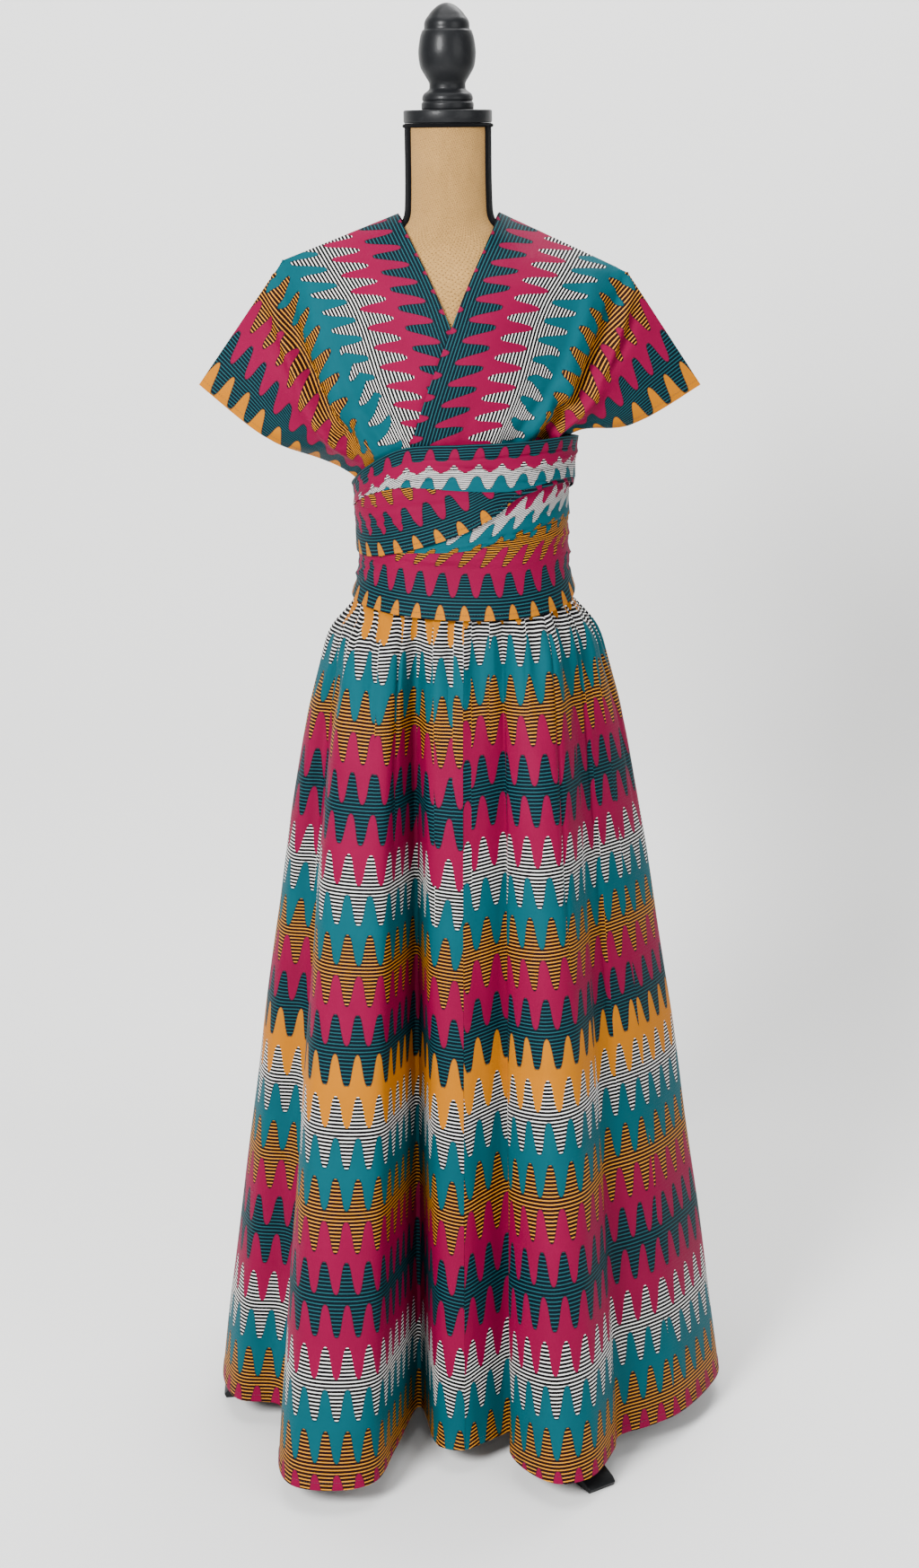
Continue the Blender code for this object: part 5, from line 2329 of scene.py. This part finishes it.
@dataclass
class Stand:
    """The pole, the hub and three curved legs."""

    wardrobe: Wardrobe
    centre_x: float = -0.008
    hub_radius: float = 0.0300
    hub_bottom: float = 0.1150
    hub_top: float = 0.1750
    hub_edge: float = 0.003
    leg_width: float = 0.0390
    leg_reach: float = 0.3020
    azimuths: tuple[float, ...] = (-57.0, 63.0, 183.0)
    soften: float = 0.0025

    def build(self) -> None:
        """Paints the pole and makes the hub and the legs."""
        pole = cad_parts["stand_pole"]
        for slot in pole.material_slots:
            slot.material = self.wardrobe.get(POLE_PAINT)
        edge, tall, wide = self.hub_edge, self.hub_top - self.hub_bottom, self.hub_radius
        eased = ((0.0, wide - edge), (edge * 0.4, wide - edge * 0.3), (edge, wide))
        upper = ((tall - height, radius) for height, radius in reversed(eased))
        hub = rows_of(TurnedRow, *eased, *upper)
        base = Vector((self.centre_x, 0.0, self.hub_bottom))
        wood = self.wardrobe.get(SAWN_WOOD)
        settle(turn_solid("hub", hub, base, wood), Slot.WOOD, "stand_hub")
        for number, azimuth in enumerate(self.azimuths, start=1):
            leg = self.make_leg(f"leg_{number}", math.radians(azimuth))
            settle(leg, Slot.WOOD, f"stand_leg_{number}")
        log.info("stand: %d legs", len(self.azimuths))

    def leg_outline(self) -> list[Vector]:
        """A leg seen from its side, as (reach, height) round its outline."""
        heel = self.hub_radius + SEAM_GAP
        upper = [(heel, 0.165), (0.105, 0.152), (0.180, 0.092), (0.228, 0.032), (0.278, 0.015)]
        lower = [(0.250, 0.000), (0.210, 0.022), (0.162, 0.074), (0.099, 0.126), (heel, 0.135)]
        steps = 20
        edges = []
        for line in (upper, lower):
            points = [Vector(point) for point in line]
            edges.append([spline_point(points, step / steps) for step in range(steps + 1)])
        reach = self.leg_reach
        toe = [Vector(point) for point in ((reach - 0.005, 0.010), (reach, 0.005), (reach - 0.002, 0.0))]
        return edges[0] + toe + edges[1]

    def make_leg(self, name: str, azimuth: float) -> bpy.types.Object:
        """A curved plank with softened edges.

        Args:
            name: The piece's name.
            azimuth: Its direction seen from above, in radians.

        Returns:
            The leg.
        """
        out = Vector((math.cos(azimuth), math.sin(azimuth), 0.0))
        beside = Vector((-out.y, out.x, 0.0))
        centre = Vector((self.centre_x, 0.0, 0.0))
        outline = self.leg_outline()
        mesh = bmesh.new()
        flanks = []
        for half in (-self.leg_width / 2, self.leg_width / 2):
            flank = [
                mesh.verts.new(centre + out * p.x + beside * half + Vector((0.0, 0.0, p.y)))
                for p in outline
            ]
            flanks.append(flank)
        count = len(outline)
        for index in range(count):
            after = (index + 1) % count
            mesh.faces.new((flanks[0][index], flanks[0][after], flanks[1][after], flanks[1][index]))
        rims = [mesh.faces.new(list(reversed(flanks[0]))), mesh.faces.new(flanks[1])]
        edges = {edge for rim in rims for edge in rim.edges}
        bmesh.ops.bevel(
            mesh, geom=list(edges), offset=self.soften, segments=3, affect="EDGES", profile=0.5
        )
        bmesh.ops.recalc_face_normals(mesh, faces=mesh.faces)
        made = bpy.data.meshes.new(name)
        mesh.to_mesh(made)
        mesh.free()
        made.shade_smooth()
        made.set_sharp_from_angle(angle=math.radians(40))
        return link_mesh(name, made, self.wardrobe.get(SAWN_WOOD))


class Lamp(NamedTuple):
    """A soft studio light: where it stands, what it lights, its size and power."""

    name: str
    place: tuple[float, float, float]
    aim: tuple[float, float, float]
    size: float
    power: float


@dataclass
class Studio:
    """The camera, a pale floor that curves up behind, and soft lights."""

    camera_place: tuple[float, float, float] = (-0.003, -2.70, 1.536)
    look_down: float = 15.4
    roll: float = -0.62
    focal_pixels: float = 2624.0
    picture_height: float = 1747.0
    sensor: float = 36.0
    lamps: tuple[Lamp, ...] = (
        Lamp("Key light", (-1.7, -2.8, 2.6), (0.0, 0.0, 0.85), 1.2, 280.0),
        Lamp("Fill light", (1.9, -2.1, 1.9), (0.0, 0.0, 0.80), 2.0, 42.0),
        Lamp("Top light", (0.0, -0.2, 3.4), (0.0, 0.0, 0.60), 2.2, 62.0),
        Lamp("Low light", (0.1, -3.0, 0.5), (0.0, 0.0, 0.40), 1.6, 16.0),
        Lamp("Back light", (0.7, 1.1, 2.9), (0.0, 0.0, 0.80), 1.2, 45.0),
    )
    world_colour: Colour = (0.95, 0.97, 1.0)
    world_strength: float = 0.28
    backdrop_colour: Colour = (0.84, 0.84, 0.83)

    def build(self) -> None:
        """Makes the camera, the backdrop, the lights and the sky."""
        self.make_camera()
        self.make_backdrop()
        for lamp in self.lamps:
            self.make_lamp(lamp)
        world = bpy.data.worlds.new("Pale studio")
        bpy.context.scene.world = world
        world.use_nodes = True
        background = world.node_tree.nodes["Background"]
        background.inputs["Color"].default_value = (*self.world_colour, 1.0)
        background.inputs["Strength"].default_value = self.world_strength

    def make_camera(self) -> None:
        """Makes the camera at the photograph's viewing angle."""
        camera = bpy.data.cameras.new("Camera")
        camera.sensor_width = self.sensor
        camera.sensor_fit = "AUTO"
        camera.lens = self.sensor * self.focal_pixels / self.picture_height
        eye = bpy.data.objects.new("Camera", camera)
        bpy.context.scene.collection.objects.link(eye)
        eye.matrix_world = (
            Matrix.Translation(self.camera_place)
            @ Matrix.Rotation(math.radians(90 - self.look_down), 4, "X")
            @ Matrix.Rotation(math.radians(self.roll), 4, "Z")
        )
        bpy.context.scene.camera = eye

    def make_lamp(self, lamp: Lamp) -> None:
        """Makes one area light.

        Args:
            lamp: Its place, aim, size and power.
        """
        data = bpy.data.lights.new(lamp.name, "AREA")
        data.shape = "DISK"
        data.size = lamp.size
        data.energy = lamp.power
        light = bpy.data.objects.new(lamp.name, data)
        bpy.context.scene.collection.objects.link(light)
        towards = Vector(lamp.aim) - Vector(lamp.place)
        turned = towards.to_track_quat("-Z", "Y").to_matrix().to_4x4()
        light.matrix_world = Matrix.Translation(lamp.place) @ turned

    def make_backdrop(self) -> None:
        """Makes the floor and the wall behind, as one sheet with a round bend.

        The sheet is clear from its far side, so a view from behind sees the dress.
        """
        near, wall, bend, height, half = -14.0, 1.3, 0.5, 4.5, 14.0
        profile = [Vector((0.0, near, 0.0)), Vector((0.0, wall - bend, 0.0))]
        for step in range(1, 17):
            angle = math.pi / 2 * step / 16
            profile.append(
                Vector((0.0, wall - bend + bend * math.sin(angle), bend * (1 - math.cos(angle))))
            )
        profile.append(Vector((0.0, wall, height)))
        points = [(x, p.y, p.z) for p in profile for x in (-half, half)]
        faces = [(2 * i, 2 * i + 1, 2 * i + 3, 2 * i + 2) for i in range(len(profile) - 1)]
        first = len(points)
        points += [(x, y, -0.002) for y in (near, -near) for x in (-half, half)]
        faces.append((first, first + 1, first + 3, first + 2))
        mesh = bpy.data.meshes.new("Backdrop")
        mesh.from_pydata(points, [], faces)
        mesh.shade_smooth()
        material, sketch, shader = start_material("Pale backdrop")
        sketch.set(shader, Base_Color=self.backdrop_colour, Roughness=0.85)
        side = sketch.outputs(sketch.node("ShaderNodeNewGeometry"))["Backfacing"]
        clear = sketch.take("ShaderNodeBsdfTransparent")
        shown = sketch.node("ShaderNodeMixShader")
        shader_out = Signal(sketch, shader.outputs[0])
        for socket, value in zip(shown.inputs, (side, shader_out, clear)):
            sketch.feed(socket, value)
        output = next(n for n in material.node_tree.nodes if n.type == "OUTPUT_MATERIAL")
        sketch.set(output, Surface=Signal(sketch, shown.outputs[0]))
        link_mesh("Backdrop", mesh, material)


def main() -> None:
    """Builds the studio, the dress, its form and its stand."""
    logging.basicConfig(level=logging.INFO, format="%(name)s %(message)s")
    wardrobe = Wardrobe()
    needle = Needle(wardrobe)
    shape = FormShape()
    Studio().build()
    DressForm(wardrobe, shape).build()
    NeckCap(wardrobe).build()
    Stand(wardrobe).build()
    Waistband(wardrobe, shape).build()
    Skirt(wardrobe, needle, shape).build()
    right = ((0.1870, 1.4030), (0.2860, 1.2660))
    left = ((0.2000, 1.3860), (0.2840, 1.2600))
    Strap(Side.RIGHT, 0.0, wardrobe, needle, shape, *right).build()
    Strap(Side.LEFT, 0.0036, wardrobe, needle, shape, *left).build()
    lower = (LOWER_ROWS, LOWER_GIRTHS, LOWER_FOLDS, LOWER_CREASES)
    upper = (UPPER_ROWS, UPPER_GIRTHS, UPPER_FOLDS, UPPER_CREASES)
    WoundStretch("wrap_lower", *lower, wardrobe, needle).build()
    WoundStretch("wrap_upper", *upper, wardrobe, needle).build()


if __name__ == "__main__":
    main()
